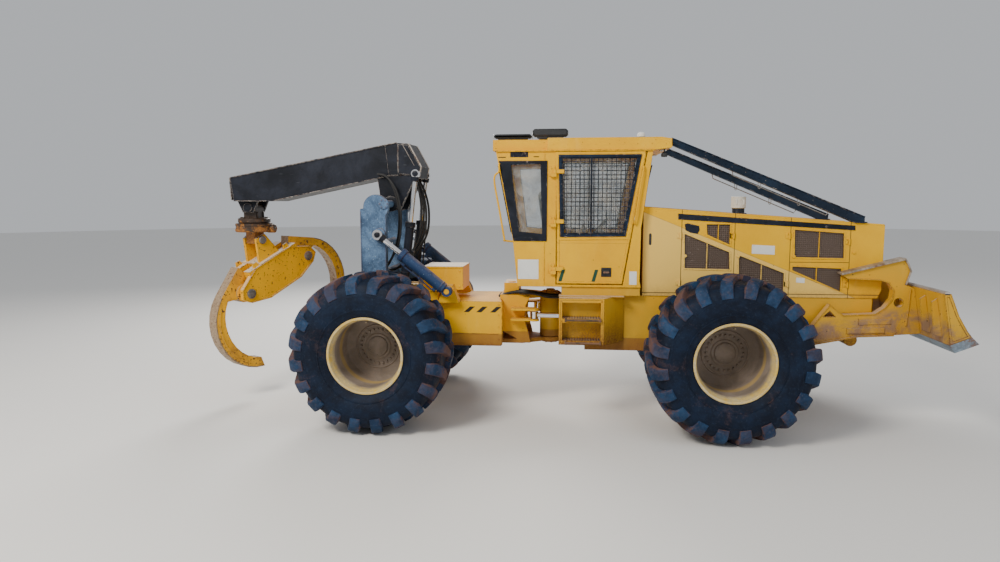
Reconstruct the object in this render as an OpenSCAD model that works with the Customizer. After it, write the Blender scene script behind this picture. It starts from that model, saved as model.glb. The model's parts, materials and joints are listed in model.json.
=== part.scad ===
// Grapple skidder: two frames hinged in the middle, a front blade and a rear arch
// that carries a boom and a swinging log grapple.
// X runs forward, Y to the machine's left and Z up, with the ground at zero.
// Inside each sub-part, X is measured from the articulation pin.

/* [Whole machine] */
// Distance of the articulation pin ahead of the overall middle
hitch_x = -74; // [-200:1:200]
// Distance from the articulation pin to each axle
axle_reach = 1950; // [1900:10:2100]
// Distance between the middle planes of a left and a right wheel
track = 2320; // [2300:10:2500]

/* [Wheels] */
// Radius over the lugs of a tyre
tyre_r = 890; // [860:5:900]
// Width of a tyre
tyre_w = 800; // [700:10:820]
// Thickness of the tyre's wall
tyre_wall = 50; // [30:5:70]
// Height of a tyre's lugs
lug_depth = 45; // [35:5:50]
// Lugs round each half of a tyre
lug_count = 20; // [18:1:21]
// Outer radius of the rim's barrel, where the tyre sits
rim_r = 400; // [380:5:420]
// Thickness of the rim's sheet
rim_wall = 14; // [8:1:20]
// Height of the rim's edge over its barrel
rim_lip = 26; // [15:1:35]
// Distance from the rim's outer edge in to the wheel disc
rim_recess = 560; // [480:5:600]
// Radius of the hub that carries the wheel disc
hub_r = 250; // [230:5:280]
// Radius of the spindle that the hub turns on
spindle_r = 80; // [60:5:100]
// Running clearance round a shaft or a pin
fit = 0.06; // [0.02:0.01:0.1]

/* [Axles] */
// Radius of the bowl in the middle of an axle
axle_bowl_r = 245; // [200:5:260]
// Height and length of an axle's square casing
axle_tube = 260; // [220:5:280]
// Radius of the trunnions that the front axle rocks on
trunnion_r = 90; // [70:5:100]

/* [Frames] */
// Height of the lower edge of both frames
frame_bottom = 825; // [815:5:840]
// Height of the top of both frames
frame_top = 1470; // [1460:5:1480]
// Width over the side plates of the front frame
front_frame_w = 1200; // [1180:10:1220]
// Width over the side plates of the rear frame
rear_frame_w = 960; // [900:10:1000]
// Thickness of a frame's plates
frame_plate = 50; // [30:2:60]
// Distance from the rear axle to the rear frame's end
rear_overhang = 310; // [280:5:350]
// Radius of the two articulation pins
hitch_pin_r = 50; // [40:1:60]
// Radius of the lugs round the articulation pins
hitch_lug_r = 135; // [120:5:140]
// Radius of the tow pin hole at the rear end
tow_pin_r = 30; // [20:1:35]

/* [Hood] */
// Width of the hood
hood_w = 1220; // [1160:10:1240]
// Thickness of the hood's panels
hood_wall = 40; // [20:2:60]
// Height of the hood's top at the cab
hood_rear_z = 2477; // [2440:1:2500]
// Height of the hood's top at the nose
hood_front_z = 2285; // [2250:1:2320]
// Distance from the articulation pin to the hood's rear face
hood_rear_x = 1070; // [1060:1:1090]
// Distance from the articulation pin to the nose
hood_front_x = 3686; // [3640:1:3700]
// Width of the engine
engine_w = 680; // [500:10:700]

/* [Cab] */
// Width of the cab
cab_w = 1420; // [1380:10:1440]
// Thickness of the cab's walls and doors
cab_wall = 60; // [50:1:70]
// Height of the cab's floor plate underneath
cab_bottom = 1574; // [1572:1:1580]
// Thickness of the window glass
glass_t = 8; // [4:1:12]
// Gap all round a cab door
door_gap = 10; // [10:1:14]
// Radius of the cab door's hinge pins
door_pin_r = 10; // [8:1:12]
// Thickness of the roof
roof_h = 134; // [110:1:150]
// Height of the light pods above the roof
pod_h = 110; // [80:1:130]

/* [Blade] */
// Width of the blade
blade_w = 2700; // [2400:10:2900]
// Thickness of each blade arm
arm_t = 90; // [60:2:92]
// Radius of the pins that the blade arms turn on
blade_pin_r = 50; // [40:1:60]
// Radius of the tie-down hole in each blade arm
tie_hole_r = 50; // [40:1:60]
// Radius of a blade cylinder's barrel
blade_barrel_r = 55; // [45:1:60]
// Distance from the middle to each blade cylinder
blade_cylinder_y = 360; // [340:5:400]

/* [Steering] */
// Radius of a steering cylinder's barrel
steer_barrel_r = 50; // [40:1:55]
// Distance from the middle to a steering cylinder's front pin
steer_base_y = 450; // [440:1:455]
// Distance from the middle to a steering cylinder's rear eye
steer_eye_y = 400; // [395:1:410]

/* [Arch and boom] */
// Width over the arch's two posts
arch_w = 1160; // [1140:5:1180]
// Thickness of an arch post
arch_t = 80; // [60:2:90]
// Width of an arch post from front to back
arch_post_l = 310; // [290:5:320]
// Radius of the arch's and boom's hinge pins
arch_pin_r = 45; // [35:1:50]
// Radius of an arch cylinder's barrel
arch_barrel_r = 68; // [55:1:72]
// Width of the boom's box beam
boom_w = 480; // [400:10:500]
// Thickness of the boom's cheek plates
cheek_t = 60; // [30:2:80]
// Radius of a boom cylinder's barrel
boom_barrel_r = 52; // [40:1:58]
// Radius of the chromed rods
rod_r = 30; // [22:1:36]

/* [Grapple] */
// Distance from the middle of the grapple to each tong's pin
tong_pin_u = 500; // [480:5:520]
// Width of the grapple's body across its tongs
grapple_w = 440; // [400:10:460]
// Thickness of a tong
tong_t = 150; // [100:5:180]
// Radius of a tong's pin
tong_pin_r = 40; // [30:1:50]
// Turn of the grapple about the vertical, seen from above
grapple_turn = 60; // [50:1:70]
// Tilt of the grapple on its rotator
grapple_tilt = 25; // [15:1:30]

/* [Hidden] */
$fn = 64;
// Gap between parts that only rest side by side
seat = 0.3;
// Gap between parts that move past each other
swing = 6;
axle_z = tyre_r;
rear_frame_reach = axle_reach + rear_overhang;
engine_bottom = 1160;
engine_top = 2000;
wheel_y = track / 2;
rim_out = wheel_y + tyre_w / 2 - 55;
rim_in = wheel_y - tyre_w / 2 + 30;
disc_y = rim_out - rim_recess;
front_y = front_frame_w / 2;
rear_y = rear_frame_w / 2;
hood_y = hood_w / 2;
cab_y = cab_w / 2;
roof_z = 3120;
// Blade pivot, the cross shaft of its cylinders and their eyes on the blade: x, z
blade_pin = [2450, 920];
blade_base = [2650, 1420];
blade_eye = [3250, 1050];
// Arch pivot, boom pivot and the cylinders' pins: x from the rear axle, z
arch_pin = [-100, 1250];
boom_pin = [0, 2520];
arch_eye = [-56, 2160];
arch_base = [760, 1500];
boom_eye = [328, 2880];
boom_base = [170, 1600];
// Steering cylinder pins: x, distance from the middle
steer_base = [950, steer_base_y];
steer_eye = [-180, steer_eye_y];
steer_z = 1196;
// Yoke pin, rotator and tilt pin under the boom's tip: x from the rear axle, z
yoke_pin = [-1865, 2470];
rotator_top = 2270;
tilt_z = 2060;
// Distance from the tilt pin down to the middle of the grapple's body
grapple_drop = 500;

// Moves a sub-part from the articulation pin to the machine's own origin
module at_hitch() {
    translate([hitch_x, 0, 0]) children();
}

// Moves what is measured from the rear axle to the machine's own origin
module at_rear_axle() {
    translate([hitch_x - axle_reach, 0, 0]) children();
}

// The same piece on both sides of the machine
module both_sides() {
    children();
    mirror([0, 1, 0]) children();
}

// Plate with an outline in X and Z, from y0 to y1
module plate(points, y0, y1) {
    translate([0, y1, 0]) rotate([90, 0, 0]) linear_extrude(y1 - y0) polygon(points);
}

// Round bar along Y, centred on p = [x, z]
module bar_y(p, y0, y1, r) {
    translate([p[0], y1, p[1]]) rotate([90, 0, 0]) cylinder(h = y1 - y0, r = r);
}

// Box from a low to a high corner
module block(low, high) {
    translate(low) cube(high - low);
}

// Lays a cylinder's own X axis from p towards q, both [x, z], in the plane y
module along(p, q, y) {
    translate([p[0], y, p[1]]) rotate([0, -atan2(q[1] - p[1], q[0] - p[0]), 0]) children();
}

// Barrel of a cylinder along X: eye at the origin, mouth at length, bored for its rod
module barrel(length, r, eye_r, eye_w, pin_r, bore_r) {
    difference() {
        union() {
            translate([eye_r * 0.8, 0, 0]) rotate([0, 90, 0]) cylinder(h = length - eye_r * 0.8, r = r);
            translate([length - 60, 0, 0]) rotate([0, 90, 0]) cylinder(h = 60, r = r + 6);
            translate([0, eye_w / 2, 0]) rotate([90, 0, 0]) cylinder(h = eye_w, r = eye_r);
        }
        translate([eye_r + 30, 0, 0]) rotate([0, 90, 0]) cylinder(h = length, r = bore_r + fit);
        translate([0, eye_w, 0]) rotate([90, 0, 0]) cylinder(h = eye_w * 2, r = pin_r + fit);
    }
}

// Rod of a cylinder along X: it starts inside the barrel and ends in an eye at reach
module rod(start, reach, r, eye_r, eye_w) {
    translate([start, 0, 0]) rotate([0, 90, 0]) cylinder(h = reach - start - eye_r * 0.7, r = r);
    translate([reach, eye_w / 2, 0]) rotate([90, 0, 0]) cylinder(h = eye_w, r = eye_r);
}

// Outline moved inwards by d; its corners are convex and run counterclockwise
function inward(a, b) = [-(b[1] - a[1]), b[0] - a[0]] / norm(b - a);
function crossing(p, n, q, m) = let (det = n[0] * m[1] - n[1] * m[0])
    [(p * n * m[1] - q * m * n[1]) / det, (n[0] * (q * m) - m[0] * (p * n)) / det];
function inset(o, d) = [for (i = [0 : len(o) - 1])
    let (a = o[(i + len(o) - 1) % len(o)], b = o[i], c = o[(i + 1) % len(o)])
    let (n = inward(a, b), m = inward(b, c))
    crossing(b + d * n, n, b + d * m, m)];

// Wheels: side is -1 on the right and 1 on the left

// Half profile of a tyre's carcass: radius, share of half the tyre's width
tread_r = tyre_r - lug_depth;
tyre_profile = [[rim_r + seat, 0.81], [430, 0.82], [480, 0.9], [600, 1], [740, 0.97], [tread_r - 42, 0.9],
    [tread_r, 0.72]];
// Radius from which the tyre's wall is thinned towards the wheel's middle, not sideways only
tread_from = tread_r - 20;
// Half profile that the lugs fill, from inside the carcass to the tyre's full radius
lug_profile = [[750, 0.9], [775, 0.96], [tyre_r - 50, 0.92], [tyre_r, 0.76]];
// A lug seen from outside: distance forwards round the tread, share of half the tyre's width
lug_outline = [[120, 0.03], [40, 0.03], [-50, 0.55], [-135, 1.1], [-35, 1.1], [35, 0.58]];

module lugs() {
    half = tyre_w / 2;
    pitch = 360 / lug_count;
    intersection() {
        for (i = [0 : lug_count - 1], side = [-1, 1])
            rotate([0, 0, 90 + (i + side / 4) * pitch]) translate([tread_r - 35, 0, 0]) rotate([90, 0, 90])
                linear_extrude(lug_depth + 45)
                    polygon([for (p = lug_outline) [p[0], side * p[1] * half]]);
        rotate_extrude($fn = 96) polygon(concat(
            [for (p = lug_profile) [p[0], p[1] * half]],
            [for (i = [len(lug_profile) - 1 : -1 : 0]) [lug_profile[i][0], -lug_profile[i][1] * half]]));
    }
}

module tyre() {
    half = tyre_w / 2;
    outer = [for (p = tyre_profile) [p[0], p[1] * half]];
    inner = [for (p = tyre_profile) [p[0] - (p[0] > tread_from ? tyre_wall : 0), p[1] * half - tyre_wall]];
    color("#2b3038") rotate([-90, 0, 0]) {
        rotate_extrude($fn = 96) polygon(concat(
            outer,
            [for (i = [len(outer) - 1 : -1 : 0]) [outer[i][0], -outer[i][1]]],
            [for (p = inner) [p[0], -p[1]]],
            [for (i = [len(inner) - 1 : -1 : 0]) inner[i]]));
        lugs();
    }
}

module rim(side) {
    out = rim_out - wheel_y;
    in = rim_in - wheel_y;
    disc = disc_y - wheel_y;
    color("#c9a23c") rotate([side * -90, 0, 0]) difference() {
        union() {
            rotate_extrude($fn = 96) polygon([
                [rim_r - rim_wall, in], [rim_r + rim_lip, in], [rim_r + rim_lip, in + rim_wall],
                [rim_r, in + rim_wall], [rim_r, out - rim_wall], [rim_r + rim_lip, out - rim_wall],
                [rim_r + rim_lip, out], [rim_r - rim_wall, out]]);
            translate([0, 0, disc - 25]) cylinder(h = 25, r = rim_r - rim_wall / 2);
            translate([0, 0, in + 15]) cylinder(h = disc - in - 15, r = hub_r);
            translate([0, 0, disc]) cylinder(h = 30, r = 150);
        }
        translate([0, 0, in]) cylinder(h = disc - in - 40, r = spindle_r + fit);
    }
}

module place_wheel(end, side) {
    at_hitch() translate([end * axle_reach, side * wheel_y, axle_z]) children();
}

module tyre_front_right() { place_wheel(1, -1) tyre(); }
module tyre_front_left() { place_wheel(1, 1) tyre(); }
module tyre_rear_right() { place_wheel(-1, -1) tyre(); }
module tyre_rear_left() { place_wheel(-1, 1) tyre(); }
module rim_front_right() { place_wheel(1, -1) rim(-1); }
module rim_front_left() { place_wheel(1, 1) rim(1); }
module rim_rear_right() { place_wheel(-1, -1) rim(-1); }
module rim_rear_left() { place_wheel(-1, 1) rim(1); }

// Axle casing with its bowl, arms and the spindles that carry the hubs
module axle_body() {
    color("#6b5a3c") {
        rotate([90, 0, 0]) translate([0, 0, -300]) cylinder(h = 600, r = axle_bowl_r);
        block([-axle_tube / 2, -rim_in - 8, -axle_tube / 2], [axle_tube / 2, rim_in + 8, axle_tube / 2]);
        rotate([90, 0, 0]) translate([0, 0, 0 - disc_y + 45]) cylinder(h = (disc_y - 45) * 2, r = spindle_r);
    }
}

module front_axle() {
    at_hitch() translate([axle_reach, 0, axle_z]) {
        axle_body();
        color("#6b5a3c") translate([-cradle_reach - frame_plate, 0, 0]) rotate([0, 90, 0])
            cylinder(h = (cradle_reach + frame_plate) * 2, r = trunnion_r);
    }
}

module rear_axle() {
    at_hitch() translate([-axle_reach, 0, axle_z]) axle_body();
}

// Front frame: side plates, the cradle that the axle rocks in, the hitch and the cross shafts

cradle_reach = axle_bowl_r + 55;
front_side = [[420, frame_bottom], [1690, frame_bottom], [1690, 1090], [2210, 1090], [2210, frame_bottom],
    [2620, frame_bottom], [2900, 1060], [3050, 1300], [3600, 1300], [3600, frame_top], [420, frame_top]];

module front_frame() {
    at_hitch() color("#c69a35") difference() {
        union() {
            both_sides() plate(front_side, front_y - frame_plate, front_y);
            for (x = [520, 3000])
                block([x, -front_y + 1, x > 2000 ? 1310 : frame_bottom + 5],
                    [x + frame_plate, front_y - 1, frame_top - 5]);
            for (x = [axle_reach - cradle_reach - frame_plate, axle_reach + cradle_reach])
                block([x, -front_y + 1, frame_bottom + 5], [x + frame_plate, front_y - 1, 1290]);
            block([120, -110, 905], [540, 110, 1340]);
            translate([0, 0, frame_bottom + 56]) cylinder(h = 1364 - frame_bottom - 56, r = hitch_lug_r - 5);
            bar_y(blade_base, -front_y + 1, front_y - 1, 40);
            both_sides() {
                bar_y(blade_pin, front_y - 10, front_y + arm_t + 35, blade_pin_r);
                bar_y(blade_pin, front_y - frame_plate, front_y + swing, 110);
            }
            both_sides() for (z = [steer_z - 80, steer_z + 55])
                block([860, steer_base_y - 75, z], [1050, front_y - frame_plate + 1, z + 25]);
            both_sides() translate([steer_base[0], steer_base[1], steer_z - 80]) cylinder(h = 160, r = 25);
            both_sides() block([150, cab_y - 210, frame_top + swing], [1040, cab_y - 20, cab_bottom - seat]);
            both_sides() block([150, cab_y - 210, frame_top - 10], [1040, front_y - 5, cab_bottom - seat]);
            block([160, -front_y + 5, frame_top - 40], [3560, front_y - 5, frame_top]);
        }
        translate([0, 0, 800]) cylinder(h = 700, r = hitch_pin_r + fit);
        translate([axle_reach - cradle_reach - frame_plate - 5, 0, axle_z]) rotate([0, 90, 0])
            cylinder(h = (cradle_reach + frame_plate) * 2 + 10, r = trunnion_r + fit);
        block([axle_reach - cradle_reach + 5, -engine_w / 2 - 20, engine_bottom - seat],
            [2480, engine_w / 2 + 20, frame_top + 5]);
        both_sides() block([510, 280, steer_z - 80], [580, front_y - frame_plate, steer_z + 80]);
        block([2480, -front_y + frame_plate + 10, frame_top - 60],
            [3000, front_y - frame_plate - 10, frame_top + 5]);
    }
}

module engine_block() {
    at_hitch() color("#4a4a48") {
        block([1700, -engine_w / 2, engine_bottom], [2460, engine_w / 2, engine_top]);
    }
}

// Hood: hollow, open below, with grille windows in both sides and the nose

hood_bottom = frame_top + seat;
hood_side = [[hood_rear_x, hood_bottom], [hood_front_x - 40, hood_bottom], [hood_front_x, 1560],
    [hood_front_x, hood_front_z], [hood_rear_x, hood_rear_z]];
hood_slope = (hood_rear_z - hood_front_z) / (hood_front_x - hood_rear_x);
function hood_top(x) = hood_rear_z - (x - hood_rear_x) * hood_slope;
// Front face of the cab's roof
roof_front_x = 1354;
// Limb risers: from the roof's front face to their foot on the hood
riser_rear_x = roof_front_x + seat;
riser_front_x = 3470;
// Stack on the engine: where it stands, its radius and its height
exhaust_place = [2200, -200, engine_top + seat];
exhaust_r = 70;
exhaust_h = 530;
// Grille windows of a side, each a list of corners [x, z]
hood_windows = [
    [[1776, 2170], [2035, 2054], [2035, 2294], [1766, 2294]],
    [[1536, 1786], [2045, 1776], [2035, 1978], [1526, 2189]],
    [[2141, 1536], [2640, 1536], [2640, 1747], [2131, 1949]],
    [[2736, 1920], [3274, 1910], [3264, 2198], [2726, 2237]],
    [[2717, 1776], [3254, 1536], [3254, 1805], [2717, 1824]]];

module hood() {
    inside = inset(hood_side, hood_wall);
    at_hitch() color("#d8b04a") difference() {
        plate(hood_side, -hood_y, hood_y);
        plate([inside[0] - [0, 100], inside[1] - [0, 100], inside[2], inside[3], inside[4]],
            hood_wall - hood_y, hood_y - hood_wall);
        for (w = hood_windows) plate(inset(w, 0), -hood_y - 1, hood_y + 1);
        block([hood_front_x - 60, -420, 1620], [hood_front_x + 20, 420, 2180]);
        translate(exhaust_place) cylinder(h = 600, r = exhaust_r + seat);
    }
}

module limb_risers() {
    at_hitch() color("#1e2124") both_sides() {
        plate([[riser_rear_x, roof_z + 130], [riser_rear_x, roof_z + 60],
            [riser_front_x - 100, hood_top(riser_front_x - 100) + seat],
            [riser_front_x, hood_top(riser_front_x) + seat], [riser_front_x, hood_top(riser_front_x) + 70]],
            hood_y - 60, hood_y);
    }
}

module exhaust() {
    at_hitch() translate(exhaust_place) {
        color("#1e2124") cylinder(h = exhaust_h, r = exhaust_r);
        color("#d8d8d0") translate([0, 0, exhaust_h - 1]) cylinder(h = 70, r = 85);
    }
}

// Cab: hollow shell, with windows cut and a doorway in each side

// Outline of the cab's side, from the rear bottom corner counterclockwise: x, z
cab_side = [[-355, cab_bottom], [1046, cab_bottom], [1030, 1650], [1037, 2256], [1152, roof_z - seat],
    [-606, roof_z - seat], [-413, 2130]];
door_side = [[92, cab_bottom + 36], [835, cab_bottom + 36], [1080, roof_z - 30], [92, roof_z - 30]];
door_window = [[154, 2170], [845, 2179], [1000, roof_z - 75], [130, roof_z - 75]];
quarter_window = [[-346, 2200], [-67, 2170], [-90, roof_z - 144], [-440, roof_z - 154]];
door_pin = [70, cab_y + 22];
door_hinge_z = [1760, 2300, roof_z - 260];
// Top of the front and of the rear window
front_window_top = roof_z - 120;
rear_window_top = roof_z - 170;

module cab_shell() {
    room = inset([cab_side[0], cab_side[1], [1034, 2256], cab_side[4], cab_side[5]], cab_wall);
    at_hitch() color("#d8b04a") {
        difference() {
            plate(cab_side, -cab_y, cab_y);
            plate(room, cab_wall - cab_y, cab_y - cab_wall);
            both_sides() {
                plate(inset(door_side, -door_gap), cab_y - cab_wall - 5, cab_y + 5);
                plate(quarter_window, cab_y - cab_wall - 5, cab_y + 5);
            }
            block([950, -cab_y + 140, 2290], [1300, cab_y - 140, front_window_top]);
            block([-700, -cab_y + 140, 2200], [-300, cab_y - 140, rear_window_top]);
        }
        both_sides() for (z = door_hinge_z) {
            block([20, cab_y - 10, z - 40], [door_pin[0] + 16, door_pin[1] + 16, z - 1]);
            translate([door_pin[0], door_pin[1], z - 20]) cylinder(h = 60, r = door_pin_r);
        }
    }
}

module cab_door() {
    color("#d8b04a") difference() {
        union() {
            plate(door_side, cab_y - cab_wall, cab_y);
            for (z = door_hinge_z) {
                translate([door_pin[0], door_pin[1], z]) cylinder(h = 45, r = 17);
                block([door_pin[0], door_pin[1] - 14, z], [door_pin[0] + 100, door_pin[1] + 8, z + 45]);
                block([door_pin[0] + 40, cab_y - 5, z], [door_pin[0] + 100, door_pin[1], z + 45]);
            }
        }
        plate(door_window, cab_y - cab_wall - 5, cab_y + 5);
        for (z = door_hinge_z)
            translate([door_pin[0], door_pin[1], z - 5]) cylinder(h = 55, r = door_pin_r + fit);
    }
}

module cab_door_right() { at_hitch() mirror([0, 1, 0]) cab_door(); }
module cab_door_left() { at_hitch() cab_door(); }

glass_y = [cab_y - cab_wall / 2 - glass_t / 2, cab_y - cab_wall / 2 + glass_t / 2];

module door_glass() {
    color("#8899a5") plate(inset(door_window, seat), glass_y[0], glass_y[1]);
}

module door_glass_right() { at_hitch() mirror([0, 1, 0]) door_glass(); }
module door_glass_left() { at_hitch() door_glass(); }

module cab_glass() {
    at_hitch() color("#8899a5") {
        both_sides() plate(inset(quarter_window, seat), glass_y[0], glass_y[1]);
        plate([[1018, 2290 + seat], [1026, 2290 + seat], [1114, front_window_top - seat],
            [1106, front_window_top - seat]],
            -cab_y + 140 + seat, cab_y - 140 - seat);
        plate([[-400, 2200 + seat], [-392, 2200 + seat], [-546, rear_window_top - seat],
            [-554, rear_window_top - seat]],
            -cab_y + 140 + seat, cab_y - 140 - seat);
    }
}

module cab_roof() {
    top = roof_z + roof_h;
    at_hitch() color("#d8b04a") difference() {
        union() {
            plate([[-20, roof_z], [1190, roof_z], [roof_front_x, roof_z + 20], [roof_front_x, top - 20],
                [1250, top], [-20, top]], -cab_y, cab_y);
            block([-643, -cab_y + 60, roof_z], [-10, cab_y - 60, top - 10]);
        }
        for (y = [-500, 500]) translate([1280, y, roof_z - 1]) cylinder(h = 12, r = 45);
    }
}

module roof_lamps() {
    at_hitch() color("#15171a") {
        top = roof_z + roof_h;
        both_sides() block([-190, cab_y - 130, top + seat], [210, cab_y - 10, top + pod_h]);
        both_sides() block([-640, cab_y - 200, top - 10 + seat], [-200, cab_y - 80, top + 60]);
        translate([1030, -cab_y + 150, top + seat]) cylinder(h = 70, r = 50);
    }
}

module cab_seat() {
    at_hitch() color("#2a2c2e") {
        block([0, -150, cab_bottom + cab_wall + seat], [300, 150, 1900]);
        block([-60, -250, 1900], [420, 250, 2030]);
        plate([[-60, 2030], [60, 2030], [-40, 2720], [-160, 2720]], -240, 240);
    }
}

module cab_controls() {
    at_hitch() color("#2a2c2e") {
        block([820, -350, cab_bottom + cab_wall + seat], [940, 350, 2120]);
        plate([[600, 2205], [585, 2185], [830, 1960], [860, 2010]], -22, 22);
        translate([580, 0, 2205]) rotate([0, -50, 0]) {
            rotate_extrude() translate([170, 0]) circle(r = 14);
            block([-170, -15, -8], [170, 15, 8]);
            translate([0, 0, -50]) cylinder(h = 60, r = 30);
        }
        both_sides() block([0, 300, cab_bottom + cab_wall + seat], [500, 420, 2120]);
    }
}

module step_boxes() {
    at_hitch() color("#c69a35") both_sides() {
        difference() {
            block([125, front_y + seat, 940], [634, 912, frame_top]);
            block([165, 780, 1240], [594, 920, 1420]);
            block([165, 780, 990], [594, 920, 1190]);
        }
        translate([0, 0, 940]) linear_extrude(frame_top - 940)
            polygon([[634, front_y + seat], [864, front_y + seat], [864, front_y + 20], [634, 912]]);
    }
}

// Blade: a curved face and the cross tube for its cylinders, held between two arms

// Lower edge of the blade's face, where the cutting edge is bolted on: back and front
blade_foot = [[4078, 1096], [4285, 1186]];
// Upper rear corner of the blade's face
blade_top = [3985, 1622];
// Rear side of the blade's face at a height
function blade_back(z) = blade_foot[0][0] + (z - blade_foot[0][1])
    * (blade_top[0] - blade_foot[0][0]) / (blade_top[1] - blade_foot[0][1]);

blade_arm = [[2330, 900], [2400, 820], [2520, 815], [2909, 955], [3418, 1060], [3792, 1079],
    [blade_back(1100) - seat, 1100], [blade_back(1600) - seat, 1600], [3890, 1640], [3935, 1790],
    [3905, 1860], [3869, 1924], [3210, 1752], [3274, 1703], [3620, 1690], [3720, 1660], [3770, 1580],
    [3760, 1480], [3690, 1380], [3591, 1310], [3255, 1291], [3111, 1406], [2900, 1118], [2450, 1040],
    [2340, 990]];

arm_y = front_y + swing * 5;

module blade_arms() {
    at_hitch() color("#c69a35") both_sides() difference() {
        plate(blade_arm, arm_y, arm_y + arm_t);
        bar_y(blade_pin, arm_y - 5, arm_y + arm_t + 5, blade_pin_r + fit);
        bar_y([3831, 1440], arm_y - 5, arm_y + arm_t + 5, tie_hole_r);
        plate([[3040, 1270], [3180, 1270], [3111, 1340]], arm_y - 5, arm_y + arm_t + 5);
    }
}

module blade() {
    at_hitch() color("#c69a35") {
        bar_y([3380, 1000], seat - arm_y, arm_y - seat, 70);
        both_sides() for (y = [blade_cylinder_y - 85, blade_cylinder_y + 55])
            plate([[3200, 1030], [3225, 1000], [3360, 930], [3440, 1000], [3400, 1070], [3270, 1100],
                [3220, 1090]], y, y + 30);
        plate([blade_top, blade_foot[0], blade_foot[1], [4243, 1238], [4147, 1402], [4060, 1622]],
            -blade_w / 2, blade_w / 2);
    }
}

module cutting_edge() {
    at_hitch() color("#7d8790")
        plate([blade_foot[0] + [0, -1], [4130, 1020], [4358, 1114], blade_foot[1] + [0, -1]],
            -blade_w / 2, blade_w / 2);
}

blade_stroke = norm(blade_eye - blade_base);

module blade_barrels() {
    at_hitch() color("#c69a35") both_sides() along(blade_base, blade_eye, blade_cylinder_y)
        barrel(blade_stroke - 150, blade_barrel_r, 62, 90, 40, rod_r);
}

module blade_rods() {
    at_hitch() color("#d0d4d8") both_sides() along(blade_base, blade_eye, blade_cylinder_y)
        rod(200, blade_stroke, rod_r, 45, 80);
}

// Steering cylinders lie between the frames, in the plane steer_z

module at_steering(side) {
    turn = atan2((steer_eye[1] - steer_base[1]) * side, steer_eye[0] - steer_base[0]);
    at_hitch() translate([steer_base[0], side * steer_base[1], steer_z]) rotate([0, 0, turn])
        rotate([90, 0, 0]) children();
}

steer_length = norm(steer_eye - steer_base);

module steering_barrel(side) {
    color("#c69a35") at_steering(side) barrel(620, steer_barrel_r, 55, 100, 25, rod_r);
}

module steering_rod(side) {
    color("#d0d4d8") at_steering(side) rod(560, steer_length, rod_r, 50, 80);
}

module steering_barrel_right() { steering_barrel(-1); }
module steering_barrel_left() { steering_barrel(1); }
module steering_rod_right() { steering_rod(-1); }
module steering_rod_left() { steering_rod(1); }

// Rear frame: side plates with bulkheads, the hitch plates, the winch deck and the arch feet

// Distance from the frame's rear face to the tow pin hole
tow_reach = 50;
axle_seat = axle_tube / 2 + seat;
rear_side = [[-rear_frame_reach, frame_bottom], [-axle_reach - axle_seat, frame_bottom],
    [-axle_reach - axle_seat, axle_z + axle_seat], [-axle_reach + axle_seat, axle_z + axle_seat],
    [-axle_reach + axle_seat, frame_bottom], [-566, frame_bottom],
    [-566, 1360], [-1330, 1360], [-1330, frame_top], [-rear_frame_reach, frame_top]];
hitch_plate = [[-600, -290], [-320, -290], [-60, -110], [0, -110], [0, 110], [-60, 110], [-320, 290],
    [-600, 290]];
hitch_side = [[-580, frame_bottom + 150], [-307, frame_bottom + 5], [-230, frame_bottom + 5], [-250, 930],
    [-300, 1100], [-290, 1290], [-230, 1400], [-580, 1400]];

module rear_frame() {
    at_hitch() color("#c69a35") difference() {
        union() {
            both_sides() {
                plate(rear_side, rear_y - frame_plate, rear_y);
                plate(hitch_side, 250, 290);
                for (z = [steer_z - 75, steer_z + 50])
                    block([-460, 280, z], [steer_eye[0], steer_eye[1] + 40, z + 25]);
                for (z = [steer_z - 75, steer_z + 50])
                    translate([steer_eye[0], steer_eye[1], z]) cylinder(h = 25, r = 60);
            }
            for (z = [frame_bottom, 1370]) translate([0, 0, z]) {
                linear_extrude(50) polygon(hitch_plate);
                cylinder(h = 50, r = hitch_lug_r);
            }
            block([-620, -rear_y + 1, frame_bottom + 2], [-570, rear_y - 1, 1358]);
            block([-rear_frame_reach, -rear_y + 1, frame_bottom + 2],
                [-rear_frame_reach + frame_plate, rear_y - 1, frame_top - 2]);
            block([-rear_frame_reach + 5, -rear_y + 5, frame_top - 40], [-1335, rear_y - 5, frame_top]);
            block([-1340, -rear_y + 5, 1320], [-580, rear_y - 5, 1359]);
            translate([0, 0, frame_bottom]) cylinder(h = 640, r = hitch_pin_r);
            both_sides() translate([-axle_reach, 0, 0]) {
                bar_y(arch_pin, rear_y - frame_plate, arch_w / 2 + 18, arch_pin_r);
                bar_y(arch_pin, rear_y - frame_plate, arch_w / 2 - arch_t - swing, 120);
                plate([[630, 1350], [890, 1350], [810, 1560], [710, 1560]],
                    430, arch_cylinder_y - arch_barrel_r - 12);
                bar_y(arch_base, 440, arch_cylinder_y - 51, 44);
                bar_y(arch_base, 440, arch_cylinder_y + 45, 32);
            }
            for (z = [960, 1120])
                block([-rear_frame_reach - tow_reach - 60, -110, z], [-rear_frame_reach + 5, 110, z + 40]);
        }
        translate([-rear_frame_reach - tow_reach, 0, 900]) cylinder(h = 300, r = tow_pin_r);
    }
}

module winch_box() {
    at_hitch() color("#d8b04a") {
        block([-1550, -280, frame_top + seat], [-1060, 280, 1750]);
        block([-560, -200, 1420 + seat], [-380, 200, 1555]);
    }
}

// Arch: two posts joined by cross tubes

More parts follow.
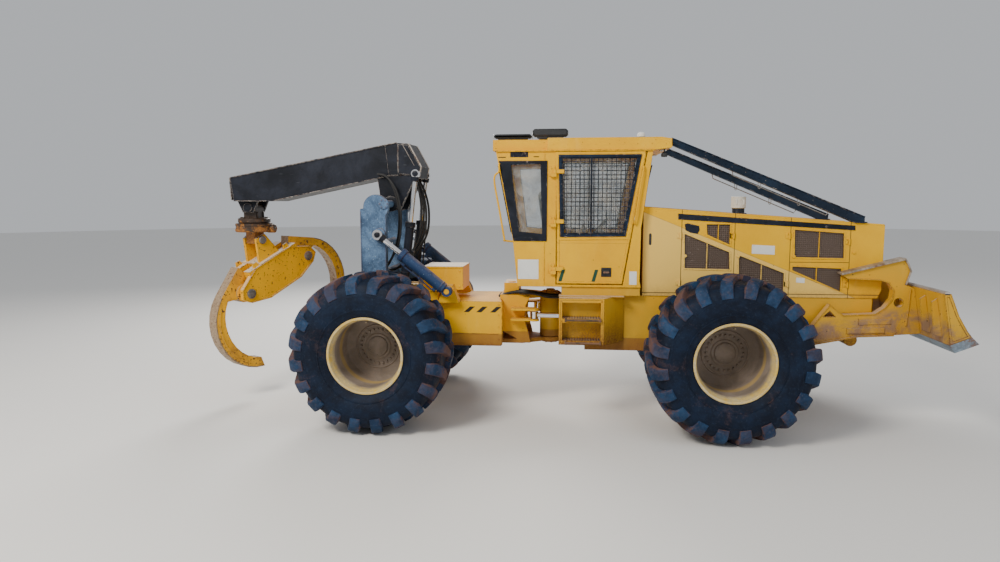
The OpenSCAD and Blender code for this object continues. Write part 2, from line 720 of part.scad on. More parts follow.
module arch() {
    outer = arch_w / 2;
    post_front = 20;
    post_rear = post_front - arch_post_l;
    at_rear_axle() color("#5f6f7c") difference() {
        union() {
            both_sides() {
                plate([[post_rear, 1160], [post_front, 1160], [post_front, boom_pin[1]],
                    [post_rear, boom_pin[1] - 60]], outer - arch_t, outer);
                bar_y([boom_pin[0] - 100, boom_pin[1] - 40], outer - arch_t, outer, 150);
                bar_y(arch_pin, outer - arch_t, outer, 140);
                bar_y(arch_eye, outer - 1, arch_cylinder_y - 40, 75);
            }
            bar_y(boom_pin, -outer + 1, outer - 1, arch_pin_r);
            bar_y([-160, 2010], -outer + 1, outer - 1, 60);
            bar_y([-100, 1655], -outer + 1, outer - 1, 60);
            both_sides() for (y = [boom_cylinder_y - 82, boom_cylinder_y + 60])
                plate([[-100, 1600], [150, 1548], [215, 1575], [215, 1630], [170, 1655], [-100, 1710]],
                    y, y + 22);
            both_sides() bar_y(boom_base, boom_cylinder_y - 81, boom_cylinder_y + 81, 30);
        }
        both_sides() bar_y(arch_pin, outer - arch_t - 5, outer + 5, arch_pin_r + fit);
    }
}

arch_length = norm(arch_eye - arch_base);
boom_length = norm(boom_eye - boom_base);
arch_cylinder_y = arch_w / 2 + arch_barrel_r + 13;
boom_cylinder_y = 307;

module arch_barrels() {
    at_rear_axle() color("#54697c") both_sides() along(arch_base, arch_eye, arch_cylinder_y)
        barrel(700, arch_barrel_r, 60, 90, 32, rod_r);
}

module arch_rods() {
    at_rear_axle() color("#d0d4d8") both_sides() along(arch_base, arch_eye, arch_cylinder_y)
        rod(560, arch_length, rod_r, 60, 70);
}

// Boom: box beam with cheeks at its pivot

boom_side = [[-2053, 2842], [-2015, 2554], [-1506, 2554], [-8, 2861], [260, 2870], [356, 2822],
    [385, 2966], [232, 3245], [78, 3254]];

module boom() {
    half = boom_w / 2;
    at_rear_axle() color("#1f2226") difference() {
        union() {
            plate(boom_side, -half, half);
            both_sides() {
                plate([[-170, 2840], [-110, 2440], [110, 2440], [290, 2800], [350, 2960],
                    [190, 3200], [50, 3200]],
                    half - 10 - cheek_t, half - 10);
                plate([for (p = [[-140, 100], [-70, -60], [70, -60], [140, 100]]) yoke_pin + p], 130, 170);
            }
            bar_y(yoke_pin, -175, 175, 40);
        }
        bar_y(boom_pin, -half - 5, half + 5, arch_pin_r + fit);
    }
}

module boom_barrels() {
    at_rear_axle() color("#1f2226") both_sides() along(boom_base, boom_eye, boom_cylinder_y)
        barrel(700, boom_barrel_r, 50, 110, 30, rod_r);
}

module boom_rods() {
    at_rear_axle() color("#d0d4d8") both_sides() along(boom_base, boom_eye, boom_cylinder_y)
        rod(560, boom_length, rod_r, 50, 70);
}

// Yoke, rotator and grapple hang below the boom's tip

module at_tip(z) {
    at_rear_axle() translate([yoke_pin[0], 0, z]) children();
}

module yoke() {
    at_tip(yoke_pin[1]) color("#3a3128") {
        difference() {
            union() {
                translate([0, 122, 0]) rotate([90, 0, 0]) cylinder(h = 244, r = 72);
                block([-80, -120, -180], [80, 120, 0]);
                translate([0, 0, rotator_top - yoke_pin[1] + swing]) cylinder(h = 60, r = 190);
            }
            translate([0, 130, 0]) rotate([90, 0, 0]) cylinder(h = 260, r = 40 + fit);
            translate([0, 0, rotator_top - yoke_pin[1]]) cylinder(h = 50, r = 45 + fit);
        }
    }
}

module rotator() {
    at_tip(0) color("#b98c2a") {
        translate([0, 0, tilt_z + 100]) cylinder(h = rotator_top - tilt_z - 100, r = 230);
        translate([0, 0, rotator_top - 1]) cylinder(h = 45, r = 45);
        rotate([0, 0, grapple_turn]) {
            block([-70, -90, tilt_z - 50], [70, 90, tilt_z + 100]);
            translate([0, 150, tilt_z]) rotate([90, 0, 0]) cylinder(h = 300, r = 38);
        }
    }
}

// Grapple frame in its own plane: u along its length, v up, about its middle
grapple_side = [[-635, -18], [-545, -110], [-270, -200], [270, -200], [545, -110], [635, -18], [585, 100],
    [300, 250], [-300, 250], [-585, 100]];

module at_grapple() {
    at_tip(tilt_z) rotate([0, 0, grapple_turn]) rotate([0, -grapple_tilt, 0])
        translate([0, 0, -grapple_drop]) children();
}

module grapple_frame() {
    half = grapple_w / 2;
    at_grapple() color("#d09a20") difference() {
        union() {
            both_sides() plate(grapple_side, half - 60, half);
            difference() {
                block([-400, -half + 5, 160], [400, half - 5, 250]);
                for (u = [-410, 200]) block([u, -85, 150], [u + 210, 85, 260]);
            }
            for (u = [-tong_pin_u, tong_pin_u]) bar_y([u, 0], -half + 5, half - 5, tong_pin_r);
            both_sides()
                plate([[-170, 240], [170, 240], [70, grapple_drop + 50], [-70, grapple_drop + 50]], 100, 145);
        }
        bar_y([0, grapple_drop], -200, 200, 38 + fit);
    }
}

// Tong outline for the +u side: outer arc to the tip, then the inner arc back
tong_outer = [for (a = [60 : -12 : -72]) [500 + 590 * cos(a), -420 + 620 * sin(a)]];
tong_inner = [for (a = [-66 : 12 : 54]) [490 + 450 * cos(a), -400 + 520 * sin(a)]];

module tong() {
    half = tong_t / 2;
    color("#d09a20") difference() {
        union() {
            plate(concat([[430, 330], [360, 200], [420, -90]],
                [for (i = [len(tong_inner) - 1 : -1 : 0]) tong_inner[i]],
                [for (i = [len(tong_outer) - 1 : -1 : 0]) tong_outer[i]]), -half, half);
            bar_y([tong_pin_u, 0], -half, half, 120);
        }
        bar_y([tong_pin_u, 0], -half - 5, half + 5, tong_pin_r + fit);
    }
}

module tong_left() { at_grapple() tong(); }
module tong_right() { at_grapple() mirror([1, 0, 0]) tong(); }

front_frame();
front_axle();
engine_block();
hood();
limb_risers();
exhaust();
cab_shell();
cab_roof();
roof_lamps();
cab_glass();
cab_seat();
cab_controls();
cab_door_right();
cab_door_left();
door_glass_right();
door_glass_left();
step_boxes();
blade();
blade_arms();
cutting_edge();
blade_barrels();
blade_rods();
steering_barrel_right();
steering_barrel_left();
steering_rod_right();
steering_rod_left();
rear_frame();
rear_axle();
winch_box();
arch();
arch_barrels();
arch_rods();
boom();
boom_barrels();
boom_rods();
yoke();
rotator();
grapple_frame();
tong_right();
tong_left();
tyre_front_right();
tyre_front_left();
tyre_rear_right();
tyre_rear_left();
rim_front_right();
rim_front_left();
rim_rear_right();
rim_rear_left();
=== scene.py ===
import json
import math

import bmesh
import bpy
import numpy as np
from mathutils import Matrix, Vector


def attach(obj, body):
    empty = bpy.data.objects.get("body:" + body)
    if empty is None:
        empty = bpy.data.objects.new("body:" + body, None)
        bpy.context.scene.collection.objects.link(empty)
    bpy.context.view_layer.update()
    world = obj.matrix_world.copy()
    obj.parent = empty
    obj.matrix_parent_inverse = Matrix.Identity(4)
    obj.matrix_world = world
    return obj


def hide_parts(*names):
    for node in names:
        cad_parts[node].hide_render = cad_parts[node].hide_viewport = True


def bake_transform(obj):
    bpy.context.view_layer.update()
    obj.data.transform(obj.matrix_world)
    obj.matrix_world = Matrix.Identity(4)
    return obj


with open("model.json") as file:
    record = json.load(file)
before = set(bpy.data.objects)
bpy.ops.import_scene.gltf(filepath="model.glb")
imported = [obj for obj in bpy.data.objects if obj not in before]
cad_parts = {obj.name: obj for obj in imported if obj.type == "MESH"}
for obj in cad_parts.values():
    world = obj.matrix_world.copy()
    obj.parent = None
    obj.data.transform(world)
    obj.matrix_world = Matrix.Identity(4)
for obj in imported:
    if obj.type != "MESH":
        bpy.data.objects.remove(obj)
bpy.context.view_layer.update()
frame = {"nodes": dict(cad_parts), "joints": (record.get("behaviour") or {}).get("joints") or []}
nodes = frame["nodes"]
joints = {j["name"]: j for j in frame["joints"]}
hitchX = joints["steering"]["pos_m"][0]  # everything is measured from the articulation pin, as in the part's source
print("frame loaded:", len(nodes), "nodes")


view = {
    "place": (0.301 + hitchX, -8.943, 2.586),
    "yaw": 5.95,
    "pitch": -6.56,
    "roll": 0.09,
    "lens": 25.95,
}


def addCamera(s):
    # looks along +Y, then turned by yaw about Z and tipped down by pitch
    camera = bpy.data.objects.new("camera", bpy.data.cameras.new("camera"))
    bpy.context.scene.collection.objects.link(camera)
    camera.data.lens = s["lens"]
    camera.data.sensor_width = 36
    camera.location = s["place"]
    camera.rotation_euler = (math.radians(90 + s["pitch"]), math.radians(s["roll"]), math.radians(s["yaw"]))
    bpy.context.scene.camera = camera


addCamera(view)


class Sock:
    # a node's output with Python's operators, each of which adds a Math node
    def __init__(self, finish, out):
        self.finish, self.out = finish, out

    def maths(self, kind, *values):
        return self.finish.add("ShaderNodeMath", {"operation": kind}, dict(enumerate(values)))

    def __add__(self, o): return self.maths("ADD", self, o)
    def __radd__(self, o): return self.maths("ADD", o, self)
    def __sub__(self, o): return self.maths("SUBTRACT", self, o)
    def __rsub__(self, o): return self.maths("SUBTRACT", o, self)
    def __mul__(self, o): return self.maths("MULTIPLY", self, o)
    def __rmul__(self, o): return self.maths("MULTIPLY", o, self)
    def __truediv__(self, o): return self.maths("DIVIDE", self, o)
    def __abs__(self): return self.maths("ABSOLUTE", self)
    def least(self, o): return self.maths("MINIMUM", self, o)
    def most(self, o): return self.maths("MAXIMUM", self, o)

    def between(self, low, high):
        # 0 below low, 1 above high, with a soft step; low above high turns it round
        return self.finish.add("ShaderNodeMapRange", {"interpolation_type": "SMOOTHSTEP"},
                               {"Value": self, "From Min": low, "From Max": high})


class Finish:
    # a material: its Principled shader, and the nodes and patterns that feed it
    def __init__(self, name, slot, **fixed):
        self.material = bpy.data.materials.new(name)
        self.material.use_nodes = True
        self.slot = slot
        self.tree = self.material.node_tree
        self.shader = self.tree.nodes["Principled BSDF"]
        for socket, value in fixed.items():
            self.shader.inputs[socket.replace("_", " ")].default_value = value
        self.place = self.add("ShaderNodeTexCoord", {}, {}, "Object")
        split = self.add("ShaderNodeSeparateXYZ", {}, {0: self.place})
        self.x = split
        self.y = Sock(self, split.out.node.outputs[1])
        self.z = Sock(self, split.out.node.outputs[2])

    def add(self, kind, settings, inputs, output=0):
        node = self.tree.nodes.new(kind)
        for key, value in settings.items():
            setattr(node, key, value)
        for key, value in inputs.items():
            if isinstance(value, Sock):
                self.tree.links.new(value.out, node.inputs[key])
            else:
                node.inputs[key].default_value = value
        return Sock(self, node.outputs[output])

    def noise(self, scale, detail=4, rough=0.55, stretch=None, warp=0):
        where = self.place
        if stretch:
            where = self.add("ShaderNodeMapping", {}, {"Vector": where, "Scale": stretch})
        return self.add("ShaderNodeTexNoise", {}, {"Vector": where, "Scale": scale, "Detail": detail,
                                                  "Roughness": rough, "Distortion": warp})

    def mix(self, mask, a, b):
        # colour a where the mask is 0, colour b where it is 1
        full = lambda c: c if isinstance(c, Sock) else (*c, 1)
        return self.add("ShaderNodeMix", {"data_type": "RGBA"}, {0: mask, 6: full(a), 7: full(b)}, 2)

    def up(self):
        # how far the surface faces upwards, from -1 to 1
        normal = self.add("ShaderNodeNewGeometry", {}, {}, "Normal")
        return Sock(self, self.add("ShaderNodeSeparateXYZ", {}, {0: normal}).out.node.outputs[2])

    def edges(self, radius):
        # 1 along sharp edges: there the rounded normal leaves the real one
        soft = self.add("ShaderNodeBevel", {"samples": 4}, {"Radius": radius})
        flat = self.add("ShaderNodeNewGeometry", {}, {}, "Normal")
        same = self.add("ShaderNodeVectorMath", {"operation": "DOT_PRODUCT"}, {0: soft, 1: flat}, "Value")
        return 1 - same

    def feed(self, **links):
        for socket, value in links.items():
            self.tree.links.new(value.out, self.shader.inputs[socket.replace("_", " ")])

    def bump(self, height, distance, rounding=0):
        normal = {}
        if rounding:
            normal = {"Normal": self.add("ShaderNodeBevel", {"samples": 4}, {"Radius": rounding})}
        self.feed(Normal=self.add("ShaderNodeBump", {},
                                  {"Height": height, "Distance": distance, "Strength": 1, **normal}))


colours = {
    "gold": (0.84, 0.46, 0.002),
    "deepGold": (0.74, 0.36, 0.001),
    "mustard": (0.6, 0.34, 0.02),
    "amber": (0.9, 0.45, 0.002),
    "cream": (0.82, 0.57, 0.16),
    "bleached": (0.62, 0.55, 0.45),
    "clay": (0.17, 0.062, 0.026),
    "dust": (0.4, 0.27, 0.16),
    "rust": (0.14, 0.045, 0.016),
    "primer": (0.055, 0.045, 0.04),
    "black": (0.006, 0.008, 0.013),
    "blueBlack": (0.016, 0.023, 0.04),
    "nightBlue": (0.006, 0.013, 0.026),
    "windowBlue": (0.01, 0.028, 0.06),
    "meshBrown": (0.185, 0.138, 0.112),
}


def strip(value, centre, half, soft=0.002):
    # 1 where the value lies within half of the centre
    return abs(value - centre).between(half + soft, half - soft)


def facing(f, direction):
    # 1 where the surface looks along the direction or against it, 0 at right angles
    normal = f.add("ShaderNodeNewGeometry", {}, {}, "Normal")
    return abs(f.add("ShaderNodeVectorMath", {"operation": "DOT_PRODUCT"}, {0: normal, 1: direction}, "Value"))


def yellowPaint(name, slot="yellow_paint", base="gold", dirtTop=1.25, dirtDepth=0.5, chips=0.5, dirt=1.0, rusty=0.0,
                marks=None, pale=0.45, bleach=0.0):
    # golden paint: cloudy fading, dust on what faces up, clay towards the ground, chips at the edges
    f = Finish(name, slot, Coat_Roughness=0.25, Specular_IOR_Level=0.2)
    cloud = f.noise(1.3, 5, 0.6)
    streak = f.noise(7, 5, 0.65, stretch=(1, 1, 0.25))
    fine = f.noise(60, 6, 0.7)
    colour = f.mix(cloud.between(0.35, 0.7), colours[base], colours["deepGold"])
    colour = f.mix(streak.between(0.52, 0.85) * pale * 0.7, colour, colours["cream"])
    groove = 0
    if marks:
        colour, groove = marks(f, colour)
    upward = f.up()
    if bleach:
        faded = upward.between(0.45, 0.75) * (streak + fine * 0.3).between(0.3, 0.62) * bleach
        colour = f.mix(faded, colour, colours["bleached"])
    dustMask = (upward.between(0.3, 0.95) * 0.5 + 0.05) * (cloud * 0.5 + fine * 0.8).between(0.45, 0.9) * dirt
    colour = f.mix(dustMask, colour, colours["dust"])
    low = (f.z + (streak - 0.5) * dirtDepth).between(dirtTop, dirtTop - dirtDepth)
    low = low * (0.25 + 0.75 * fine.between(0.3, 0.62)) * 0.8 * dirt
    colour = f.mix(low.least(1), colour, colours["clay"])
    wear = f.edges(0.012).between(0.03, 0.22)
    wear = wear * (f.noise(22, 5, 0.7) + fine * 0.35).between(0.72 - 0.2 * chips, 0.86 - 0.2 * chips)
    spots = f.noise(33, 3, 0.5).between(0.76 - 0.05 * chips - 0.07 * rusty, 0.8 - 0.05 * chips - 0.07 * rusty)
    bare = wear.most(spots)
    colour = f.mix(bare, colour, f.mix(fine.between(0.4, 0.6), colours["primer"], colours["rust"]))
    if marks:
        colour = f.mix(groove * 0.85, colour, colours["primer"])
    f.feed(Base_Color=colour, Roughness=0.42 + 0.18 * fine + 0.3 * low.most(dustMask) + 0.25 * bare,
           Coat_Weight=(0.05 - 0.05 * low.most(bare)).most(0))
    f.bump(fine * 0.25 - bare * 0.8 + low * 0.5 + f.noise(3.0, 2) * 1.2 - groove * 3, 0.0016, rounding=0.005)
    return f


hoodLook = {
    # the sides are painted paler below this crease line, as painted light on the lower facet
    "crease": ((1.066, 2.429), (3.254, 1.536)),     # pale below this line, golden above it
    "seams": (1.5, 2.085, 2.69, 3.33),
    "midSeam": 1.868,
}


def hoodMarks(f, colour):
    # the sides are paler below the crease as painted light on the lower facet, which faces the light another way, and a
    # faint dark line along the crease is painted shade in the fold; the door seams are dark grooves
    (x0, z0), (x1, z1) = hoodLook["crease"]
    long = math.hypot(x1 - x0, z1 - z0)
    above = ((f.x - (x0 + hitchX)) * (z0 - z1) + (f.z - z0) * (x1 - x0)) / long
    side = abs(f.y).between(0.585, 0.6)
    # painted light: cream below the crease on the hood's sides
    colour = f.mix(above.between(0.004, -0.004) * side * 0.75, colour, colours["cream"])
    groove = strip(f.z, hoodLook["midSeam"], 0.003) * strip(f.x, 3.01 + hitchX, 0.32)
    for x in hoodLook["seams"]:
        groove = groove.most(strip(f.x, x + hitchX, 0.0035))
    # the crease's faint dark line, weighted 0.4, is painted shade in the fold, not a seam
    groove = groove.most(strip(f.z, 1.506, 0.004)).most(strip(above, 0, 0.0025) * 0.4) * side
    return colour, groove.most(strip(abs(f.y), 0.36, 0.003) * f.up().between(0.6, 0.8))


doorLook = {
    "feet": (0.132, 0.509),         # foot of each slanted stripe
    "foot": 1.637,
    "top": 1.775,
    "half": 0.02,
    "slant": 0.28,
    "side": (0.69, 0.705),          # the stripes start between these distances from the middle
    "colour": (0.01, 0.065, 0.04),
    "seam": 2.075,
}
frameLook = {
    "feet": (-0.99, -0.839, -0.672),
    "foot": 1.228,
    "top": 1.297,
    "half": 0.031,
    "slant": 1.1,
    "side": (0.46, 0.475),
    "colour": (0.014, 0.013, 0.012),
    "floorLine": 0.968,
}


def striped(f, colour, s):
    # slanted stripes on the outer faces, between foot and top
    mask = None
    for x in s["feet"]:
        band = strip(f.x - (f.z - s["foot"]) * s["slant"], x + hitchX, s["half"])
        mask = mask.most(band) if mask else band
    level = strip(f.z, (s["foot"] + s["top"]) / 2, (s["top"] - s["foot"]) / 2)
    return f.mix(mask * level * abs(f.y).between(*s["side"]), colour, s["colour"])


def doorMarks(f, colour):
    # two slanted dark green stripes low on the door
    return striped(f, colour, doorLook), strip(f.z, doorLook["seam"], 0.002) * 0.35


def frameMarks(f, colour):
    # three slanted black stripes behind the hitch, and a brown band along the frame's foot
    line = frameLook["floorLine"]
    colour = striped(f, colour, frameLook)
    band = (f.z + (f.noise(3.5, 4, 0.6) - 0.5) * 0.05).between(line + 0.012, line - 0.012)
    return f.mix(band * 0.72, colour, (0.22, 0.085, 0.024)), strip(f.z, line, 0.002) * 0.5


def armMarks(f, colour):
    # grey dried mud along the middle of the blade's arms
    thick = f.noise(4.2, 5, 0.65, warp=0.5)
    where = f.x - hitchX
    band = strip(f.z - (where - 2.4) * 0.115, 1.025, 0.1, 0.05) * thick.between(0.36, 0.56)
    far = strip(f.z, 1.19, 0.16, 0.06) * where.between(3.45, 3.75) * thick.between(0.4, 0.6)
    return f.mix(band.most(far) * 0.85, colour, (0.235, 0.155, 0.125)), 0


hoodPaint = yellowPaint("hoodPaint", dirtTop=1.62, dirtDepth=0.25, dirt=0.7, chips=0.35, marks=hoodMarks, pale=0.35)
cabPaint = yellowPaint("cabPaint", dirtTop=1.66, dirtDepth=0.2, dirt=0.55, chips=0.45)
doorPaint = yellowPaint("doorPaint", dirtTop=1.66, dirtDepth=0.15, dirt=0.55, chips=0.45, marks=doorMarks, pale=0.25)
roofPaint = yellowPaint("roofPaint", dirtTop=1.0, dirt=0.8, chips=0.4, bleach=0.5)
frameGold = yellowPaint("frameGoldPaint", dirtTop=1.02, dirtDepth=0.3, chips=0.7, dirt=1.0, marks=frameMarks)
frontGold = yellowPaint("frontFramePaint", base="mustard", dirtTop=1.05, dirtDepth=0.35, chips=0.6, dirt=1.1,
                        marks=frameMarks)
stepPaint = yellowPaint("stepPaint", base="mustard", dirtTop=1.35, dirtDepth=0.5, chips=1.0, dirt=1.3, bleach=0.7)
bladePaint = yellowPaint("bladePaint", base="mustard", dirtTop=1.35, dirtDepth=0.6, chips=1.0, dirt=1.2, rusty=0.4,
                         marks=armMarks, bleach=0.5)
boxPaint = yellowPaint("boxPaint", dirtTop=1.3, chips=0.4, dirt=0.5, bleach=0.9, pale=0.5)
grapplePaint = yellowPaint("grapplePaint", "worn_yellow_paint", base="amber", dirtTop=0.7, chips=1.3, dirt=0.5,
                           rusty=1.0, pale=0.12, bleach=1.0)


def blackPaint(name, tint="black", lift="blueBlack", chips=0.6, dusty=0.5):
    # dark paint with a blue sheen, scratched to grey, bright bare metal along worn edges
    f = Finish(name, "black_paint", Specular_IOR_Level=0.18)
    cloud = f.noise(2.3, 5, 0.65, warp=0.3)
    fine = f.noise(58, 6, 0.7)
    colour = f.mix(cloud.between(0.35, 0.75), colours[tint], colours[lift])
    scratch = f.noise(30, 4, 0.6, stretch=(0.25, 1, 1.6)).between(0.66, 0.74)
    colour = f.mix(scratch * 0.35, colour, (0.1, 0.11, 0.13))
    settled = (f.up().between(0.2, 0.9) * 0.42 + 0.05) * (cloud * 0.6 + fine * 0.7).between(0.5, 0.85) * dusty
    colour = f.mix(settled, colour, colours["dust"])
    wear = f.edges(0.016).between(0.02, 0.16)
    wear = wear * (f.noise(17, 5, 0.7) + fine * 0.3).between(0.74 - 0.22 * chips, 0.86 - 0.22 * chips)
    colour = f.mix(wear, colour, f.mix(fine.between(0.45, 0.65), (0.55, 0.5, 0.45), colours["rust"]))
    f.feed(Base_Color=colour, Roughness=0.38 + 0.4 * settled + 0.14 * fine, Metallic=wear * 0.6)
    f.bump(fine * 0.3 - wear + f.noise(5, 3) * 0.8, 0.0014, rounding=0.005)
    return f


def dustyPaint(name, slot, dark, light, speck, amount=0.5):
    # paint under dry dust: large smears and a scatter of pale specks
    f = Finish(name, slot)
    smear = f.noise(2.8, 6, 0.7, warp=0.5)
    fine = f.noise(46, 6, 0.75)
    colour = f.mix((smear * 0.8 + fine * 0.3).between(0.62 - 0.3 * amount, 0.92 - 0.3 * amount), dark, light)
    spots = f.noise(75, 3, 0.5).between(0.66, 0.71)
    colour = f.mix(spots * 0.8, colour, speck)
    wear = f.edges(0.012).between(0.03, 0.2) * fine.between(0.38, 0.55)
    colour = f.mix(wear * 0.85, colour, colours["rust"])
    colour = f.mix(f.up().between(0.4, 0.95) * 0.5 * smear.between(0.35, 0.6), colour, colours["dust"])
    f.feed(Base_Color=colour, Roughness=0.55 + 0.3 * smear)
    f.bump(fine * 0.5 + smear * 0.6 - wear * 0.6, 0.0016, rounding=0.005)
    return f


def greasePaint(name):
    # yellow paint eaten by rust under thick black grease, which thins out downwards
    f = Finish(name, "rusty_paint")
    lumps = f.noise(7.5, 6, 0.7, warp=0.8)
    fine = f.noise(52, 6, 0.7)
    colour = f.mix(fine.between(0.35, 0.68), (0.42, 0.17, 0.018), colours["rust"])
    grease = (lumps + (f.z - 2.2) * 1.1).between(0.44, 0.56)
    colour = f.mix(grease * 0.93, colour, (0.016, 0.012, 0.01))
    f.feed(Base_Color=colour, Roughness=0.62 - 0.32 * grease + 0.2 * fine)
    f.bump(fine * 0.6 + grease * 1.2 + lumps * 0.6, 0.003, rounding=0.004)
    return f


def mudSteel(name):
    # steel under baked clay
    f = Finish(name, "muddy_steel", Roughness=0.86)
    crust = f.noise(6.5, 6, 0.7, warp=0.4)
    fine = f.noise(70, 6, 0.75)
    colour = f.mix(crust.between(0.38, 0.62), (0.06, 0.045, 0.036), (0.19, 0.095, 0.05))
    colour = f.mix(fine.between(0.52, 0.72) * 0.5, colour, (0.26, 0.17, 0.11))
    f.feed(Base_Color=colour)
    f.bump(crust * 1.4 + fine * 0.5, 0.005, rounding=0.006)
    return f


def bareSteel(name, slot="worn_steel", tone=(0.3, 0.37, 0.44), shine=0.65, rust=0.35):
    # steel ground bright by soil, with long scratches and rust in the hollows
    f = Finish(name, slot)
    scratch = f.noise(16, 5, 0.7, stretch=(1, 0.12, 1))
    fine = f.noise(64, 5, 0.7)
    colour = f.mix(scratch.between(0.35, 0.65), tone, tuple(0.55 * c for c in tone))
    eaten = (f.noise(5, 6, 0.7) + fine * 0.25).between(0.72 - 0.2 * rust, 0.82 - 0.2 * rust)
    colour = f.mix(eaten * 0.85, colour, (0.17, 0.075, 0.035))
    f.feed(Base_Color=colour, Metallic=shine * (1 - eaten), Roughness=0.34 + 0.3 * fine + 0.3 * eaten)
    f.bump(scratch * 0.5 + eaten * 0.5 + fine * 0.2, 0.0015, rounding=0.004)
    return f


def chromeFinish():
    # polished rod with fine wiping marks and a film of dust
    f = Finish("chrome", "chrome_rod", Metallic=1.0)
    film = f.noise(9, 5, 0.65)
    f.feed(Base_Color=f.mix(film.between(0.45, 0.8) * 0.45, (0.86, 0.86, 0.87), (0.5, 0.42, 0.34)),
           Roughness=0.12 + 0.22 * film.between(0.4, 0.8))
    f.bump(f.noise(120, 2), 0.0002)
    return f


def glassFinish():
    # clear pane with dust smeared over it
    f = Finish("glassPane", "glass", Roughness=0.06, IOR=1.45)
    dust = f.noise(5, 6, 0.7, warp=0.4)
    f.feed(Base_Color=f.mix(dust.between(0.4, 0.7), (0.3, 0.36, 0.38), (0.55, 0.53, 0.47)),
           Alpha=0.16 + 0.3 * dust.between(0.42, 0.75))
    f.bump(f.noise(2, 2), 0.0004)
    return f


def plasticFinish(name, tone=(0.016, 0.017, 0.019), slot="black_plastic", rough=0.5):
    # grained moulding with dust in its grain
    f = Finish(name, slot)
    grain = f.noise(260, 3, 0.6)
    film = f.noise(6, 5, 0.65)
    colour = f.mix(film.between(0.45, 0.75) * 0.35, tone, tuple(c * 0.6 + 0.055 for c in tone))
    f.feed(Base_Color=colour, Roughness=rough + 0.25 * film)
    f.bump(grain + film * 0.3, 0.0005, rounding=0.003)
    return f


def fabricFinish():
    # woven seat cover: threads cross at 3 mm, darker where it is rubbed
    f = Finish("seatCloth", "seat_fabric", Sheen_Weight=0.3)
    warp = f.y.maths("SINE", f.y * 2100)
    weft = f.x.maths("SINE", (f.x + f.z) * 2100)
    weave = warp * weft
    worn = f.noise(5, 4, 0.6)
    colour = f.mix(worn.between(0.35, 0.7), (0.03, 0.031, 0.034), (0.06, 0.058, 0.058))
    f.feed(Base_Color=f.mix(weave.between(-0.2, 0.8) * 0.4, colour, (0.095, 0.095, 0.1)), Roughness=0.85 + 0.1 * worn)
    f.bump(weave * 0.5 + f.noise(90, 3) * 0.5, 0.0008)
    return f


blackBoom = blackPaint("blackBoomPaint", chips=0.85, dusty=0.45)
blackTrim = blackPaint("blackTrimPaint", chips=0.25, dusty=0.3)
riserPaint = blackPaint("riserPaint", tint="nightBlue", lift="windowBlue", chips=0.35, dusty=0.25)
framePaint = blackPaint("windowFramePaint", tint="nightBlue", lift="windowBlue", chips=0.3, dusty=0.2)
meshPaint = blackPaint("meshPaint", tint="meshBrown", lift="meshBrown", chips=0.0, dusty=0.25)
archPaint = dustyPaint("archPaint", "dusty_blue_grey_paint", (0.022, 0.058, 0.125), (0.14, 0.25, 0.42),
                       (0.36, 0.47, 0.6), 0.6)
cylinderPaint = dustyPaint("cylinderPaint", "dusty_blue_grey_paint", (0.005, 0.03, 0.1), (0.022, 0.08, 0.195),
                           (0.22, 0.32, 0.43), 0.35)
darkEngine = dustyPaint("enginePaint", "dark_steel", (0.02, 0.019, 0.018), (0.07, 0.055, 0.042), (0.12, 0.1, 0.08), 0.5)
grease = greasePaint("greasyPaint")
mud = mudSteel("muddySteel")
edgeSteel = bareSteel("edgeSteel")
pinSteel = bareSteel("pinSteel", "dark_steel", (0.3, 0.29, 0.28), 0.7, 0.5)
chrome = chromeFinish()
glass = glassFinish()
plastic = plasticFinish("blackPlastic")
hose = plasticFinish("hoseRubber", (0.012, 0.012, 0.013), rough=0.55)
white = plasticFinish("paleLabel", (0.72, 0.73, 0.7), "black_plastic", 0.4)
lampGlass = plasticFinish("lampGlass", (0.62, 0.66, 0.7), "glass", 0.12)
cloth = fabricFinish()
boltSteel = bareSteel("boltSteel", "dark_steel", (0.16, 0.15, 0.14), 0.5, 0.6)
print("finishes made")


def joined(*shapes):
    # stacks shapes, moving each one's face numbers past the corners before it
    corners, groups, base = [], [], 0
    for verts, faces in shapes:
        corners.append(verts)
        groups += [g + base for g in faces]
        base += len(verts)
    return np.vstack(corners), groups


def moved(shape, offset):
    return shape[0] + np.array(offset, float), shape[1]


def turned(shape, axis, degrees, centre=(0, 0, 0)):
    # Rodrigues' rotation of every corner about an axis through centre
    k, a, c = np.array(axis, float), math.radians(degrees), np.array(centre, float)
    k = k / np.linalg.norm(k)
    v = shape[0] - c
    v = v * math.cos(a) + np.cross(k, v) * math.sin(a) + np.outer(v @ k, k) * (1 - math.cos(a))
    return v + c, shape[1]


def mirrored(shape):
    # the same on the machine's other side, faces turned back outwards
    return shape[0] * (1, -1, 1), [g[:, ::-1] for g in shape[1]]


def bothSides(shape):
    return joined(shape, mirrored(shape))


def gridFaces(rows, columns, closeRows=False, closeColumns=False):
    r = np.arange(rows if closeRows else rows - 1)[:, None]
    c = np.arange(columns if closeColumns else columns - 1)[None]
    r2, c2 = (r + 1) % rows, (c + 1) % columns
    return np.stack([r * columns + c, r * columns + c2, r2 * columns + c2, r2 * columns + c], -1).reshape(-1, 4)


def gridShape(points, closeRows=False, closeColumns=False):
    rows, columns = points.shape[:2]
    return points.reshape(-1, 3), [gridFaces(rows, columns, closeRows, closeColumns)]


def capped(points):
    # closed rings one after the other, with a cap on the first and the last
    rows, n = points.shape[:2]
    ends = [np.arange(n)[None, ::-1], (np.arange(n) + (rows - 1) * n)[None]]
    return points.reshape(-1, 3), [gridFaces(rows, n, closeColumns=True)] + ends


def inset(outline, distance):
    # every corner moves inwards along the bisector of its two edges
    ahead = np.roll(outline, -1, 0) - outline
    ahead = ahead / np.linalg.norm(ahead, axis=1)[:, None]
    normal = np.stack([-ahead[:, 1], ahead[:, 0]], 1)
    before = np.roll(normal, 1, 0)
    return outline + distance * (normal + before) / (1 + (normal * before).sum(1))[:, None]


